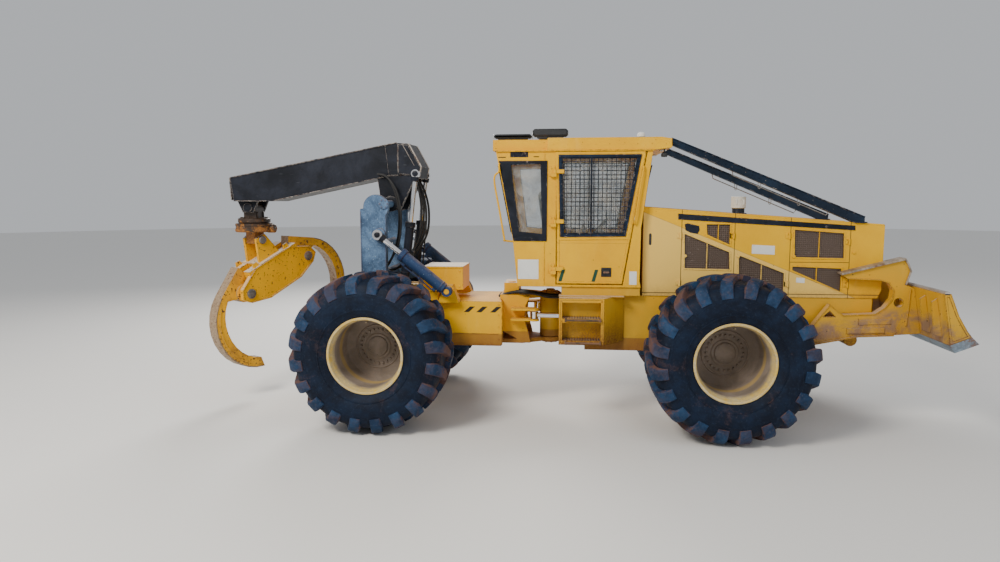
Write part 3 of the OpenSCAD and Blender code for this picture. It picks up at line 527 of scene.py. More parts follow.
def plate(outline, low, high, chamfer=0.003, plane="xz"):
    # outline carried across the plate, drawn in by the chamfer at both faces
    o = np.array(outline, float)
    x, y = o[:, 0], o[:, 1]
    if (x * np.roll(y, -1) - y * np.roll(x, -1)).sum() < 0:
        o = o[::-1]
    small = inset(o, chamfer)
    rings = []
    for flat, level in ((small, low), (o, low + chamfer), (o, high - chamfer), (small, high)):
        third = np.full(len(o), level)
        rings.append({"xz": np.stack([flat[:, 0], third, flat[:, 1]], 1),
                      "xy": np.stack([flat[:, 0], flat[:, 1], third], 1)}[plane])
    return capped(np.array(rings))


def box(low, high, chamfer=0.003):
    # a box with every edge broken
    (x0, y0, z0), (x1, y1, z1), c = low, high, chamfer
    outline = [(x0 + c, z0), (x1 - c, z0), (x1, z0 + c), (x1, z1 - c), (x1 - c, z1), (x0 + c, z1), (x0, z1 - c),
               (x0, z0 + c)]
    return plate(outline, y0, y1, c)


def rect(x0, z0, x1, z1):
    return [(x0, z0), (x1, z0), (x1, z1), (x0, z1)]


def lathe(profile, centre, axis="y", sides=64):
    # closed profile of (radius, place along the axis) turned about the axis
    p = np.array(profile, float)
    a = np.linspace(0, 2 * np.pi, sides, endpoint=False)[:, None]
    across, other, along = p[:, 0] * np.cos(a), p[:, 0] * np.sin(a), np.broadcast_to(p[:, 1], (sides, len(p)))
    order = {"x": (along, across, other), "y": (across, along, other), "z": (across, other, along)}[axis]
    return moved(gridShape(np.stack(order, -1), True, True), centre)


def disc(profile, centre, axis="y", sides=48):
    # profile of (radius, place) from one end to the other, both ends capped flat
    p = np.array(profile, float)
    a = np.linspace(0, 2 * np.pi, sides, endpoint=False)[None]
    r, t = p[:, :1], p[:, 1:] + 0 * a
    order = {"x": (t, r * np.cos(a), r * np.sin(a)), "y": (r * np.cos(a), t, r * np.sin(a)),
             "z": (r * np.cos(a), r * np.sin(a), t)}[axis]
    return moved(capped(np.stack(order, -1)), centre)


def curve(points, steps=8):
    # Catmull-Rom spline through the points
    p = np.array(points, float)
    p = np.vstack([2 * p[0] - p[1], p, 2 * p[-1] - p[-2]])
    t = np.linspace(0, 1, steps, endpoint=False)[:, None, None]
    a, b, c, d = p[:-3], p[1:-2], p[2:-1], p[3:]
    q = 0.5 * (2 * b + (c - a) * t + (2 * a - 5 * b + 4 * c - d) * t ** 2 + (3 * b - a - 3 * c + d) * t ** 3)
    return np.vstack([q.transpose(1, 0, 2).reshape(-1, 3), p[-2]])


def tube(path, radius, sides=12):
    # circle carried along the path, its frame turned no more than the path bends
    p = np.array(path, float)
    ahead = np.gradient(p, axis=0)
    ahead /= np.linalg.norm(ahead, axis=1)[:, None]
    side = np.cross(ahead[0], (0, 0, 1) if abs(ahead[0][2]) < 0.9 else (1, 0, 0))
    frames = []
    for d in ahead:
        side = side - d * (side @ d)
        side /= np.linalg.norm(side)
        frames.append((side, np.cross(d, side)))
    f = np.array(frames)
    a = np.linspace(0, 2 * np.pi, sides, endpoint=False)
    r = np.broadcast_to(radius, len(p))[:, None, None]
    return capped(p[:, None] + r * (f[:, :1] * np.cos(a)[:, None] + f[:, 1:] * np.sin(a)[:, None]))


def bolts(places, normal, radius=0.012, height=0.01):
    # hexagon heads with a broken rim, one at each place
    n = np.array(normal, float) / np.linalg.norm(normal)
    u = np.cross(n, (0, 0, 1) if abs(n[2]) < 0.9 else (1, 0, 0))
    u /= np.linalg.norm(u)
    w = np.cross(n, u)
    a = np.linspace(0, 2 * np.pi, 6, endpoint=False)[:, None]
    ring = u * np.cos(a) + w * np.sin(a)
    head = np.concatenate([ring * radius - n * 0.003, ring * radius + n * height * 0.75,
                           ring * radius * 0.82 + n * height])
    places = np.atleast_2d(np.array(places, float))
    verts = (places[:, None] + head[None]).reshape(-1, 3)
    start = (np.arange(len(places)) * 18)[:, None, None]
    sides = (gridFaces(3, 6, closeColumns=True)[None] + start).reshape(-1, 4)
    caps = (np.array([[12, 13, 14, 15, 16, 17], [5, 4, 3, 2, 1, 0]])[None] + start).reshape(-1, 6)
    return verts, [sides, caps]


def boltRing(centre, reach, count, normal, radius, height, start=0):
    # bolt heads at even steps round a centre, in the plane square to the normal
    a = start + np.arange(count) * 2 * np.pi / count
    places = np.tile(np.array(centre, float), (count, 1))
    first, second = [i for i in range(3) if not normal[i]]
    places[:, first] += reach * np.cos(a)
    places[:, second] += reach * np.sin(a)
    return bolts(places, normal, radius, height)


def addPiece(name, body, finish, shape, sharp=35, replaces=()):
    # puts a shape into a mesh, turns its faces outwards and lets it ride on a body, if it has one
    verts, groups = shape
    mesh = bpy.data.meshes.new(name)
    mesh.vertices.add(len(verts))
    mesh.vertices.foreach_set("co", np.ascontiguousarray(verts, np.float32).ravel())
    corners = np.concatenate([g.ravel() for g in groups]).astype(np.int32)
    sizes = np.concatenate([np.full(len(g), g.shape[1]) for g in groups])
    mesh.loops.add(len(corners))
    mesh.loops.foreach_set("vertex_index", corners)
    mesh.polygons.add(len(sizes))
    mesh.polygons.foreach_set("loop_start", np.concatenate([[0], np.cumsum(sizes)[:-1]]).astype(np.int32))
    mesh.update(calc_edges=True)
    work = bmesh.new()
    work.from_mesh(mesh)
    bmesh.ops.recalc_face_normals(work, faces=work.faces)
    work.to_mesh(mesh)
    work.free()
    mesh.materials.append(finish.material)
    mesh.polygons.foreach_set("use_smooth", np.ones(len(mesh.polygons), bool))
    mesh.set_sharp_from_angle(angle=math.radians(sharp))
    piece = bpy.data.objects.new(name, mesh)
    bpy.context.scene.collection.objects.link(piece)
    if body:
        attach(piece, body)
    if replaces:
        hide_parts(*replaces)
    return piece


def dress(node, finish):
    # a CAD node keeps its shape and gets a finish
    mesh = nodes[node].data
    mesh.materials.clear()
    mesh.materials.append(finish.material)


tyre = {
    "radius": 0.8899,       # over the lugs
    "halfWidth": 0.3995,
    "lugHeight": 0.058,
    "lugs": 20,             # on each side, staggered by half a pitch
    "rimRadius": 0.4003,
    "steps": 160,
}

# across the tyre's outside without its lugs, from the middle to the bead: radius, distance from the middle plane
tyreSection = np.array([(0.834, 0.0), (0.832, 0.1), (0.827, 0.2), (0.815, 0.28), (0.786, 0.34), (0.745, 0.372),
                        (0.69, 0.389), (0.62, 0.397), (0.56, 0.39), (0.5, 0.368), (0.45, 0.34), (0.425, 0.326),
                        (0.4003, 0.324)])

# a lug's middle line and half width: distance from the middle plane, distance forwards round the tread, half width
lugLine = np.array([(0.01, 0.084, 0.036), (0.06, 0.068, 0.04), (0.14, 0.03, 0.046), (0.22, -0.01, 0.052),
                    (0.3, -0.046, 0.058), (0.35, -0.062, 0.06), (0.4, -0.066, 0.056)])


def resampled(section, count):
    # the same line at even steps of its length
    step = np.concatenate([[0], np.cumsum(np.linalg.norm(np.diff(section, axis=0), axis=1))])
    where = np.linspace(0, step[-1], count)
    return np.stack([np.interp(where, step, section[:, i]) for i in (0, 1)], 1)


def tyreShape(s):
    # carcass: the section and its mirror image turned about the axle, with a raised rib above the bead
    fine = curve(np.column_stack([tyreSection, np.zeros(len(tyreSection))]), 3)[:, :2]
    bead = [(s["rimRadius"], 0.27), (0.45, 0.25), (0.6, 0.31), (0.74, 0.29), (0.77, 0.15)]
    half = np.vstack([fine, bead])
    closed = np.vstack([half, half[::-1][:-1] * (1, -1)])[:-1]
    ribs = [lathe([(r + 0.007 * math.cos(a), y + 0.006 * math.sin(a))
                   for a in np.linspace(0, 2 * np.pi, 8, endpoint=False)], (0, 0, 0), "y", 96)
            for r, y in ((0.515, 0.375), (0.66, 0.391))]
    carcass = joined(lathe(closed, (0, 0, 0), "y", s["steps"]), bothSides(joined(*ribs)))
    # lug: stations from the middle over the shoulder, each a section square to the carcass
    start = np.abs(fine[:, 1] - 0.01).argmin()
    last = np.abs(fine[:30, 0] - 0.68).argmin()
    across = resampled(fine[start:last + 1], 16)
    t = np.linspace(0, 1, len(across))[:, None]
    along = np.gradient(across, axis=0)
    along /= np.linalg.norm(along, axis=1)[:, None]
    out = np.stack([along[:, 1], -along[:, 0]], 1)                     # square to the carcass, outwards
    shift = np.interp(across[:, 1], lugLine[:, 0], lugLine[:, 1])[:, None]
    wide = np.interp(across[:, 1], lugLine[:, 0], lugLine[:, 2])[:, None]
    high = s["lugHeight"] * (1 - 0.8 * np.clip((t - 0.66) / 0.34, 0, 1) ** 1.1)
    # section of a lug: share of its width, share of its height
    ring = np.array([(-1.3, -0.3), (-1.16, 0.1), (-1.03, 0.8), (-0.96, 0.95), (-0.86, 1.0), (0, 1.0),
                     (0.86, 1.0), (0.96, 0.95), (1.03, 0.8), (1.16, 0.1), (1.3, -0.3)])
    lift = high * ring[:, 1]
    radius = np.minimum(across[:, :1] + out[:, :1] * lift, s["radius"])
    level = np.minimum(across[:, 1:] + out[:, 1:] * lift, s["halfWidth"])
    angle = (shift + wide * ring[:, 0]) / np.maximum(across[:, :1], 0.8)
    lugs = []
    for side in (1, -1):
        for i in range(s["lugs"]):
            a = angle + 2 * np.pi * (i + 0.25 * side) / s["lugs"]
            lugs.append(capped(np.stack([radius * np.sin(a), level * side, radius * np.cos(a)], -1)[:, ::side]))
    return carcass, joined(*lugs)


def rubberFinish(name, low, high, scuffs, soil):
    # blue-black rubber with pale blue flecks that are partly dust and partly painted highlight, and red soil smeared
    # over it
    f = Finish(name, "tyre_rubber", Specular_IOR_Level=0.22)
    smear = f.noise(2.6, 5, 0.65, warp=0.6)
    fine = f.noise(38, 6, 0.7)
    tread = facing(f, (0, 1, 0)).between(0.75, 0.35)
    colour = f.mix(f.noise(5.5, 5, 0.7).between(0.35, 0.72), low, high)
    # pale blue flecks: dust and painted highlight on the rubber
    colour = f.mix(fine.between(0.52, 0.78) * scuffs, colour, (0.06, 0.1, 0.155))
    mud = (smear * 0.75 + fine * 0.35).between(0.66 - soil * 0.14, 0.78 - soil * 0.14) * (0.25 + 0.75 * tread)
    colour = f.mix(mud * 0.8, colour, (0.135, 0.066, 0.046))
    f.feed(Base_Color=colour, Roughness=0.6 + 0.25 * mud + 0.12 * fine)
    f.bump(fine * 0.5 + f.noise(9, 4) * 0.8 + mud * 0.4, 0.004)
    return f


rim = {
    "lip": 0.426,
    "bore": 0.386,
    "out": 0.343,       # outer edge, from the wheel's middle plane
    "disc": -0.217,     # face of the wheel disc
    "inner": -0.368,
    "boltCircle": 0.198,
    "bolts": 24,
}


def rimShape(s):
    # outer flange, gutter, drop to the barrel, wheel disc with its raised hub face, and the inner flange
    o, d, n, b, l = s["out"], s["disc"], s["inner"], s["bore"], s["lip"]
    profile = [(l - 0.012, o - 0.002), (l - 0.004, o - 0.003), (l, o - 0.009), (l - 0.003, o - 0.016),
               (0.402, o - 0.018), (0.4, o - 0.03), (0.4, n + 0.03), (0.402, n + 0.018), (l - 0.003, n + 0.015),
               (l, n + 0.008), (l - 0.006, n + 0.002), (b + 0.004, n + 0.001), (b, n + 0.012), (b, d - 0.04),
               (b - 0.03, d - 0.03), (0.24, d - 0.03), (0.235, d - 0.034), (0.235, d - 0.046), (0.085, d - 0.046),
               (0.085, d - 0.02), (0.1, d), (0.12, d + 0.006), (0.142, d + 0.008), (0.148, d + 0.004),
               (0.15, d - 0.004), (0.165, d - 0.008), (0.232, d - 0.008), (0.238, d - 0.003), (0.244, d + 0.01),
               (0.252, d + 0.012), (0.262, d + 0.002), (0.34, d + 0.004), (0.365, d + 0.012), (0.374, d + 0.03),
               (b - 0.004, d + 0.065), (b - 0.004, o - 0.185), (b - 0.012, o - 0.16), (b - 0.012, o - 0.118),
               (b - 0.003, o - 0.092), (b, o - 0.055), (b + 0.006, o - 0.045), (b + 0.008, o - 0.018),
               (b + 0.014, o - 0.006)]
    ring = lathe(profile, (0, 0, 0), "y", 96)
    cover = disc([(0.118, d - 0.02), (0.118, d + 0.012), (0.112, d + 0.02), (0.085, d + 0.026), (0.045, d + 0.029),
                  (0.004, d + 0.03)], (0, 0, 0))
    a = np.linspace(0, 2 * np.pi, s["bolts"], endpoint=False)
    heads = bolts(np.stack([s["boltCircle"] * np.sin(a), np.full(len(a), d - 0.008), s["boltCircle"] * np.cos(a)], 1),
                  (0, 1, 0), 0.014, 0.022)
    a = np.linspace(0, 2 * np.pi, 12, endpoint=False) + 0.1
    small = bolts(np.stack([0.098 * np.sin(a), np.full(len(a), d + 0.02), 0.098 * np.cos(a)], 1), (0, 1, 0), 0.008,
                  0.008)
    valve = tube([(0.0, o - 0.15, b - 0.014), (0.0, o - 0.13, b - 0.028), (0.0, o - 0.09, b - 0.032)], 0.006, 8)
    return joined(ring, cover, heads, small, valve)


def rimFinish():
    # yellow at the outer flange and gutter, brown-grey dried mud deep in the dish
    f = Finish("rimPaint", "rim_paint")
    fine = f.noise(42, 6, 0.7)
    cloud = f.noise(3.1, 5, 0.6, warp=0.4)
    deep = (abs(f.y) + (cloud - 0.5) * 0.1).between(1.44, 1.36)
    out = abs(f.y) + (cloud - 0.5) * 0.06
    inside = out.between(1.2, 1.16) * out.between(1.06, 1.1)
    colour = f.mix(cloud.between(0.3, 0.7), (0.66, 0.46, 0.12), (0.64, 0.52, 0.26))
    colour = f.mix(fine.between(0.42, 0.64) * 0.75, colour, (0.4, 0.33, 0.24))
    colour = f.mix(f.noise(11, 5, 0.7).between(0.5, 0.62) * 0.6, colour, (0.7, 0.44, 0.03))
    mud = f.mix(cloud.between(0.35, 0.7), (0.175, 0.145, 0.13), (0.3, 0.245, 0.215))
    mud = f.mix(inside * 0.55, mud, (0.55, 0.36, 0.07))
    colour = f.mix((deep * 0.93).most(fine.between(0.66, 0.74) * 0.7), colour, mud)
    f.feed(Base_Color=colour, Roughness=0.45 + 0.4 * deep)
    f.bump(fine + cloud * 0.6, 0.003, rounding=0.002)
    return f


# two copies of one rubber: the carcass, which shows in the valleys between the lugs, is painted darker as painted
# shade, and the lugs are painted lighter as painted light on their faces
rubber = rubberFinish("rubber", (0.001, 0.004, 0.014), (0.004, 0.013, 0.036), 0.25, 0.45)
lugRubber = rubberFinish("lugRubber", (0.006, 0.02, 0.052), (0.018, 0.056, 0.13), 0.55, 1.15)
rimPaint = rimFinish()
(wheelShape, wheelLugs), wheelRim = tyreShape(tyre), rimShape(rim)
for end in ("front", "rear"):
    for side, sign in (("right", -1), ("left", 1)):
        centre = joints["wheel_%s_%s_roll" % (end, side)]["pos_m"]
        for kind, shape, finish in (("tyre", wheelShape, rubber), ("rim", wheelRim, rimPaint)):
            whole = shape if sign > 0 else mirrored(shape)
            addPiece("%s_%s_%s_piece" % (kind, end, side), "wheel_%s_%s" % (end, side), finish, moved(whole, centre),
                     40, replaces=["%s_%s_%s" % (kind, end, side)])
        addPiece("lugs_%s_%s" % (end, side), "wheel_%s_%s" % (end, side), lugRubber, moved(wheelLugs, centre), 25)
print("wheels made")

hitch = (hitchX, 0, 0)                                        # most pieces are measured from the articulation pin
axleX = joints["wheel_rear_right_roll"]["pos_m"][0]
rearAxle = (axleX, 0, 0)                                      # the arch, boom and grapple from the rear axle


def onBody(body, both):
    # gives a function that adds pieces to a body, drawn from the articulation pin, on one side or on both
    def add(name, finish, shape, *sharp, **more):
        return addPiece(name, body, finish, moved(bothSides(shape) if both else shape, hitch), *sharp, **more)
    return add


frontPair, frontPiece = onBody("front_chassis", True), onBody("front_chassis", False)
bladePair, bladePiece = onBody("blade", True), onBody("blade", False)
rearPair, rearPiece = onBody("rear_chassis", True), onBody("rear_chassis", False)


def strap(path, thick, low, high):
    # flat bar that follows a path in X and Z, from low to high in Y
    p = np.array(path, float)
    d = np.gradient(p, axis=0)
    if len(p) > 2:
        unit = np.diff(p, axis=0) / np.linalg.norm(np.diff(p, axis=0), axis=1)[:, None]
        d[1:-1] = unit[:-1] + unit[1:]
    d /= np.linalg.norm(d, axis=1)[:, None]
    n = np.stack([-d[:, 1], d[:, 0]], 1) * thick / 2
    ends = [p + n, p + n, p - n, p - n]
    rings = [np.stack([q[:, 0], np.full(len(p), y), q[:, 1]], 1) for q, y in zip(ends, (low, high, high, low))]
    return capped(np.array(rings).transpose(1, 0, 2))


def border(outer, inner, low, high, chamfer=0.002):
    # frame between two outlines with as many corners each, in X and Z, from low to high in Y
    o, i = np.array(outer, float), np.array(inner, float)
    rings = []
    for flat, level in ((o, low), (o, high - chamfer), (o * 0.98 + i * 0.02, high), (i * 0.98 + o * 0.02, high),
                        (i, high - chamfer), (i, low)):
        rings.append(np.stack([flat[:, 0], np.full(len(o), level), flat[:, 1]], 1))
    return gridShape(np.array(rings).transpose(1, 0, 2), True, True)


def grown(outline, distance):
    # an outline moved outwards, or inwards for a negative distance
    o = np.array(outline, float)
    x, y = o[:, 0], o[:, 1]
    turn = 1 if (x * np.roll(y, -1) - y * np.roll(x, -1)).sum() > 0 else -1
    return inset(o, -distance * turn)


def wires(outline, pitch, radius, level):
    # square grid of wires in X and Z, each cut off at the convex outline
    o = np.array(outline, float)
    made = []
    for along in (0, 1):
        across = 1 - along
        for value in np.arange(o[:, across].min() + pitch * 0.5, o[:, across].max(), pitch):
            a, b = o, np.roll(o, -1, 0)
            hit = (a[:, across] - value) * (b[:, across] - value) < 0
            t = (value - a[hit, across]) / (b[hit, across] - a[hit, across])
            cut = np.sort(a[hit, along] + t * (b[hit, along] - a[hit, along]))
            if len(cut) == 2 and cut[1] - cut[0] > pitch * 0.3:
                ends = np.zeros((2, 3))
                ends[:, 0 if along == 0 else 2] = cut
                ends[:, 2 if along == 0 else 0] = value
                ends[:, 1] = level + (radius if along == 0 else -radius)
                made.append(tube(ends, radius, 5))
    return joined(*made)


def upright(shape, place):
    # a shape drawn in X and Z is turned to stand across the machine, then its foot is put at place
    v = shape[0]
    return np.stack([v[:, 1], v[:, 0], v[:, 2]], 1) + np.array(place, float), [g[:, ::-1] for g in shape[1]]


def leaning(shape, z0, slope):
    # pushed along X by slope for every metre above z0
    v = shape[0].copy()
    v[:, 0] += (v[:, 2] - z0) * slope
    return v, shape[1]


def onCylinder(shape, start, end, y):
    # drawn along X from 0, then laid from start towards end, both x and z
    angle = math.degrees(math.atan2(end[1] - start[1], end[0] - start[0]))
    return moved(turned(shape, (0, 1, 0), -angle), (start[0], y, start[1]))


def weld(path, radius=0.007):
    # bead whose thickness swells and sinks along its run
    p = curve(path, 10)
    return tube(p, radius * (1 + 0.22 * np.sin(np.arange(len(p)) * 2.1)), 7)


hoodTrim = {
    "windows": [   # corners x, z of a side's grille windows, as cut in the hood
        [(1.776, 2.17), (2.035, 2.054), (2.035, 2.294), (1.766, 2.294)],
        [(1.536, 1.786), (2.045, 1.776), (2.035, 1.978), (1.526, 2.189)],
        [(2.141, 1.536), (2.64, 1.536), (2.64, 1.747), (2.131, 1.949)],
        [(2.736, 1.92), (3.274, 1.91), (3.264, 2.198), (2.726, 2.237)],
        [(2.717, 1.776), (3.254, 1.536), (3.254, 1.805), (2.717, 1.824)]],
    "face": 0.61,
    "meshPitch": 0.022,
    "meshWire": 0.0032,
    "edge": 0.012,
}


def hoodGrilles(s):
    # mesh, backing sheet and frame in each window, with a thin bar down its middle
    face, frames, meshes, backs, bars = s["face"], [], [], [], []
    for w in s["windows"]:
        o = np.array(w)
        frames.append(border(grown(w, s["edge"]), grown(w, -0.006), face - 0.004, face + 0.005))
        meshes.append(wires(w, s["meshPitch"], s["meshWire"], face - 0.012))
        backs.append(plate(grown(w, 0.004), face - 0.036, face - 0.03, 0.001))
        middle = o[:, 0].mean()
        low = np.interp(middle, np.sort(o[:2, 0]), o[:2, 1][np.argsort(o[:2, 0])])
        high = np.interp(middle, np.sort(o[2:, 0]), o[2:, 1][np.argsort(o[2:, 0])])
        bars.append(box((middle - 0.005, face - 0.014, low), (middle + 0.005, face - 0.002, high), 0.002))
    return joined(*frames, *bars), joined(*meshes), joined(*backs)


grilleFrames, grilleMesh, grilleBack = hoodGrilles(hoodTrim)
frontPair("grille_frames", hoodPaint, grilleFrames)
frontPair("grille_mesh", meshPaint, grilleMesh, 60)
frontPair("grille_backing", meshPaint, grilleBack)

face = hoodTrim["face"]


def topEdge(x):
    # height of the hood's top edge
    return 2.477 - (x - 1.07) * 0.0734


# on the hood: black strip under the top edge as painted shadow under the top panel's lip, plug, slotted handle, blank
# labels
# painted shadow: a black strip plate stands for the shade under the top panel's lip
frontPair("hood_strip", blackTrim,
          joined(plate([(1.455, topEdge(1.455) - 0.105), (3.375, topEdge(3.375) - 0.082),
                        (3.373, topEdge(3.373) - 0.03), (1.454, topEdge(1.454) - 0.04)], face - 0.004, face + 0.007,
                       0.002),
                 bolts([(x, face + 0.007, topEdge(x) - 0.062) for x in np.linspace(1.56, 3.28, 9)], (0, 1, 0), 0.008,
                       0.005)))
frontPair("hood_plug", blackTrim,
          plate([(1.53, 2.29), (1.56, 2.302), (1.69, 2.272), (1.697, 2.225), (1.675, 2.18), (1.6, 2.192),
                 (1.54, 2.222)], face - 0.003, face + 0.004, 0.002))
slot = [(1.15 + 0.014 * math.cos(a), z + 0.014 * math.sin(a)) for a, z in
        [(math.pi * (1 + i / 6), 2.066) for i in range(7)] + [(math.pi * i / 6, 2.172) for i in range(7)]]
frontPair("hood_handles", plastic, plate(slot, face - 0.004, face + 0.003, 0.001))
frontPair("hood_labels", white,
          joined(plate([(2.275, 1.962), (2.525, 1.95), (2.525, 2.05), (2.275, 2.062)], face - 0.002, face + 0.002,
                       0.0008),
                 plate([(2.77, 1.64), (2.862, 1.634), (2.862, 1.69), (2.77, 1.696)], face - 0.002, face + 0.002,
                       0.0008)))


def hoodFittings():
    # pairs of hinge knuckles beside each seam, and a turn latch on the other side of each door
    made, screws = [], []
    for x in hoodLook["seams"]:
        for z in (1.62, 2.16 if x < 3 else 2.1):
            made += [disc([(0.011, -0.035), (0.011, 0.035)], (x - 0.01, face + 0.006, z), "z", 12),
                     box((x - 0.055, face - 0.002, z - 0.03), (x - 0.012, face + 0.005, z + 0.03), 0.002)]
            screws += [(x - 0.034, face + 0.005, z + d) for d in (-0.017, 0.017)]
        made.append(disc([(0.019, -0.003), (0.019, 0.006), (0.015, 0.01)], (x + 0.045, face, 1.93 if x < 3 else 1.98),
                         "y", 20))
    return joined(*made, bolts(screws, (0, 1, 0), 0.006, 0.004))


frontPair("hood_hinges", hoodPaint, hoodFittings())
frontPair("hood_edges", hoodPaint,
          tube([(1.075, face - 0.01, topEdge(1.075) - 0.003), (2.4, face - 0.01, topEdge(2.4) - 0.003),
                (3.68, face - 0.01, topEdge(3.68) - 0.003)], 0.012, 12))


def noseGrille():
    # opening of the nose: a frame, slanting slats and two uprights before a dark core
    frameShape = upright(border(rect(-0.455, 1.585, 0.455, 2.215),
                                rect(-0.415, 1.625, 0.415, 2.175), -0.004, 0.008), (3.686, 0, 0))
    slats = [turned(box((3.655, -0.417, z), (3.69, 0.417, z + 0.005), 0.002), (0, 1, 0), 28, (3.67, 0, z))
             for z in np.linspace(1.66, 2.15, 15)]
    posts = [box((3.652, y - 0.012, 1.625), (3.684, y + 0.012, 2.175), 0.003) for y in (-0.14, 0.14)]
    core = upright(plate(rect(-0.43, 1.61, 0.43, 2.19), -0.003, 0.003), (3.64, 0, 0))
    return frameShape, joined(*slats, *posts), core


noseFrame, noseSlats, noseCore = noseGrille()
frontPiece("nose_frame", hoodPaint, noseFrame)
frontPiece("nose_slats", blackTrim, noseSlats)
frontPiece("nose_core", meshPaint, noseCore)

exhaustAt = (2.2, -0.2)
stack = lathe([(0.098, 2.395), (0.098, 2.402), (0.074, 2.406), (0.07, 2.415), (0.07, 2.47), (0.058, 2.47), (0.058, 2.3),
               (0.07, 2.3), (0.07, 2.386), (0.098, 2.386)], (*exhaustAt, 0), "z", 48)
cap = lathe([(0.071, 2.462), (0.081, 2.468), (0.083, 2.48), (0.083, 2.586), (0.086, 2.594), (0.084, 2.6),
             (0.077, 2.598), (0.074, 2.588), (0.072, 2.545), (0.071, 2.475)], (*exhaustAt, 0), "z", 48)
frontPiece("exhaust_stack", blackTrim, joined(stack, boltRing((*exhaustAt, 2.402), 0.086, 6, (0, 0, 1), 0.007, 0.006)),
           replaces=["exhaust"])
frontPiece("exhaust_cap", white,
           joined(cap, box((2.15, -0.2838, 2.505), (2.172, -0.2795, 2.565), 0.001),
                  box((2.228, -0.2838, 2.505), (2.25, -0.2795, 2.565), 0.001)))
dress("hood", hoodPaint)
dress("engine_block", darkEngine)

riser = {"rear": (1.356, 3.25), "front": (3.47, 2.372), "rodGap": 0.05, "rod": 0.006}


def riserTrim(s):
    # flange along the top edge, a row of bolts down the web, and a thin rod hung below in small loops
    (x0, z0), (x1, z1) = s["rear"], s["front"]
    slope = (z1 - z0) / (x1 - x0)
    top = lambda x: z0 + (x - x0) * slope
    under = lambda x: 3.18 - (x - 1.354) * 0.4325
    flange = strap([(x0 + 0.004, top(x0 + 0.004) + 0.003), (x1, top(x1) + 0.003)], 0.01, 0.535, 0.622)
    foot = strap([(x0 + 0.004, under(x0 + 0.004) + 0.001), (3.36, under(3.36) + 0.001)], 0.008, 0.545, 0.62)
    heads = bolts([(x, 0.61, (top(x) + under(x)) / 2) for x in np.linspace(1.44, 3.28, 26)], (0, 1, 0), 0.006, 0.004)
    rod = tube([(2.03, 0.6, under(2.03) + 0.002), (2.045, 0.6, under(2.045) - s["rodGap"]),
                (2.6, 0.6, under(2.6) - s["rodGap"]), (3.06, 0.6, under(3.06) - s["rodGap"]),
                (3.085, 0.6, under(3.085) + 0.002)], s["rod"], 8)
    loops = [tube(curve([(x - 0.012, 0.6, under(x) + 0.004), (x - 0.01, 0.6, under(x) - 0.062),
                         (x + 0.012, 0.6, under(x) - 0.066), (x + 0.016, 0.6, under(x) + 0.004)], 5), 0.004, 6)
             for x in (2.33, 2.76)]
    shoe = box((3.36, 0.53, topEdge(3.36)), (3.49, 0.64, topEdge(3.36) + 0.012), 0.003)
    return joined(flange, foot, heads, shoe), joined(rod, *loops)


riserFlanges, riserRods = riserTrim(riser)
frontPair("riser_flanges", riserPaint, riserFlanges)
frontPair("riser_rods", pinSteel, riserRods)
dress("limb_risers", riserPaint)
print("hood made")

cabTrim = {
    "face": 0.71,
    "doorWindow": [(0.154, 2.17), (0.845, 2.179), (1.0, 3.045), (0.13, 3.045)],
    "quarterWindow": [(-0.346, 2.2), (-0.067, 2.17), (-0.09, 2.976), (-0.44, 2.966)],
    "door": [(0.092, 1.61), (0.835, 1.61), (1.08, 3.09), (0.092, 3.09)],
    "gridPitch": 0.05,
    "gridWire": 0.004,
}


def doorTrim(s):
    # blue-black window frame, a wire guard before the glass, the raised rims of the door, its latch and lever
    y = s["face"]
    w = s["doorWindow"]
    frameShape = border(grown(w, 0.024), grown(w, -0.02), y - 0.01, y + 0.012, 0.003)
    guard = joined(wires(grown(w, 0.004), s["gridPitch"], s["gridWire"], y + 0.018),
                   tube([(0.476, y + 0.012, 2.165), (0.476, y + 0.012, 3.05)], 0.011, 8),
                   bolts([(x, y + 0.012, z) for x, z in grown(w, 0.006)], (0, 1, 0), 0.01, 0.008))
    rim = joined(border(grown(w, 0.06), grown(w, 0.03), y - 0.002, y + 0.007),
                 border(grown(s["door"], -0.006), grown(s["door"], -0.03), y - 0.002, y + 0.006))
    latch = joined(box((0.597, y - 0.004, 1.693), (0.713, y + 0.008, 1.8), 0.006),
                   box((0.612, y + 0.004, 1.712), (0.698, y + 0.014, 1.782), 0.01))
    lever = joined(box((0.635, y + 0.01, 1.735), (0.69, y + 0.026, 1.756), 0.005),
                   disc([(0.012, 0.0), (0.012, 0.02), (0.009, 0.024)], (0.632, y + 0.006, 1.746), "y", 20))
    return frameShape, guard, rim, latch, lever


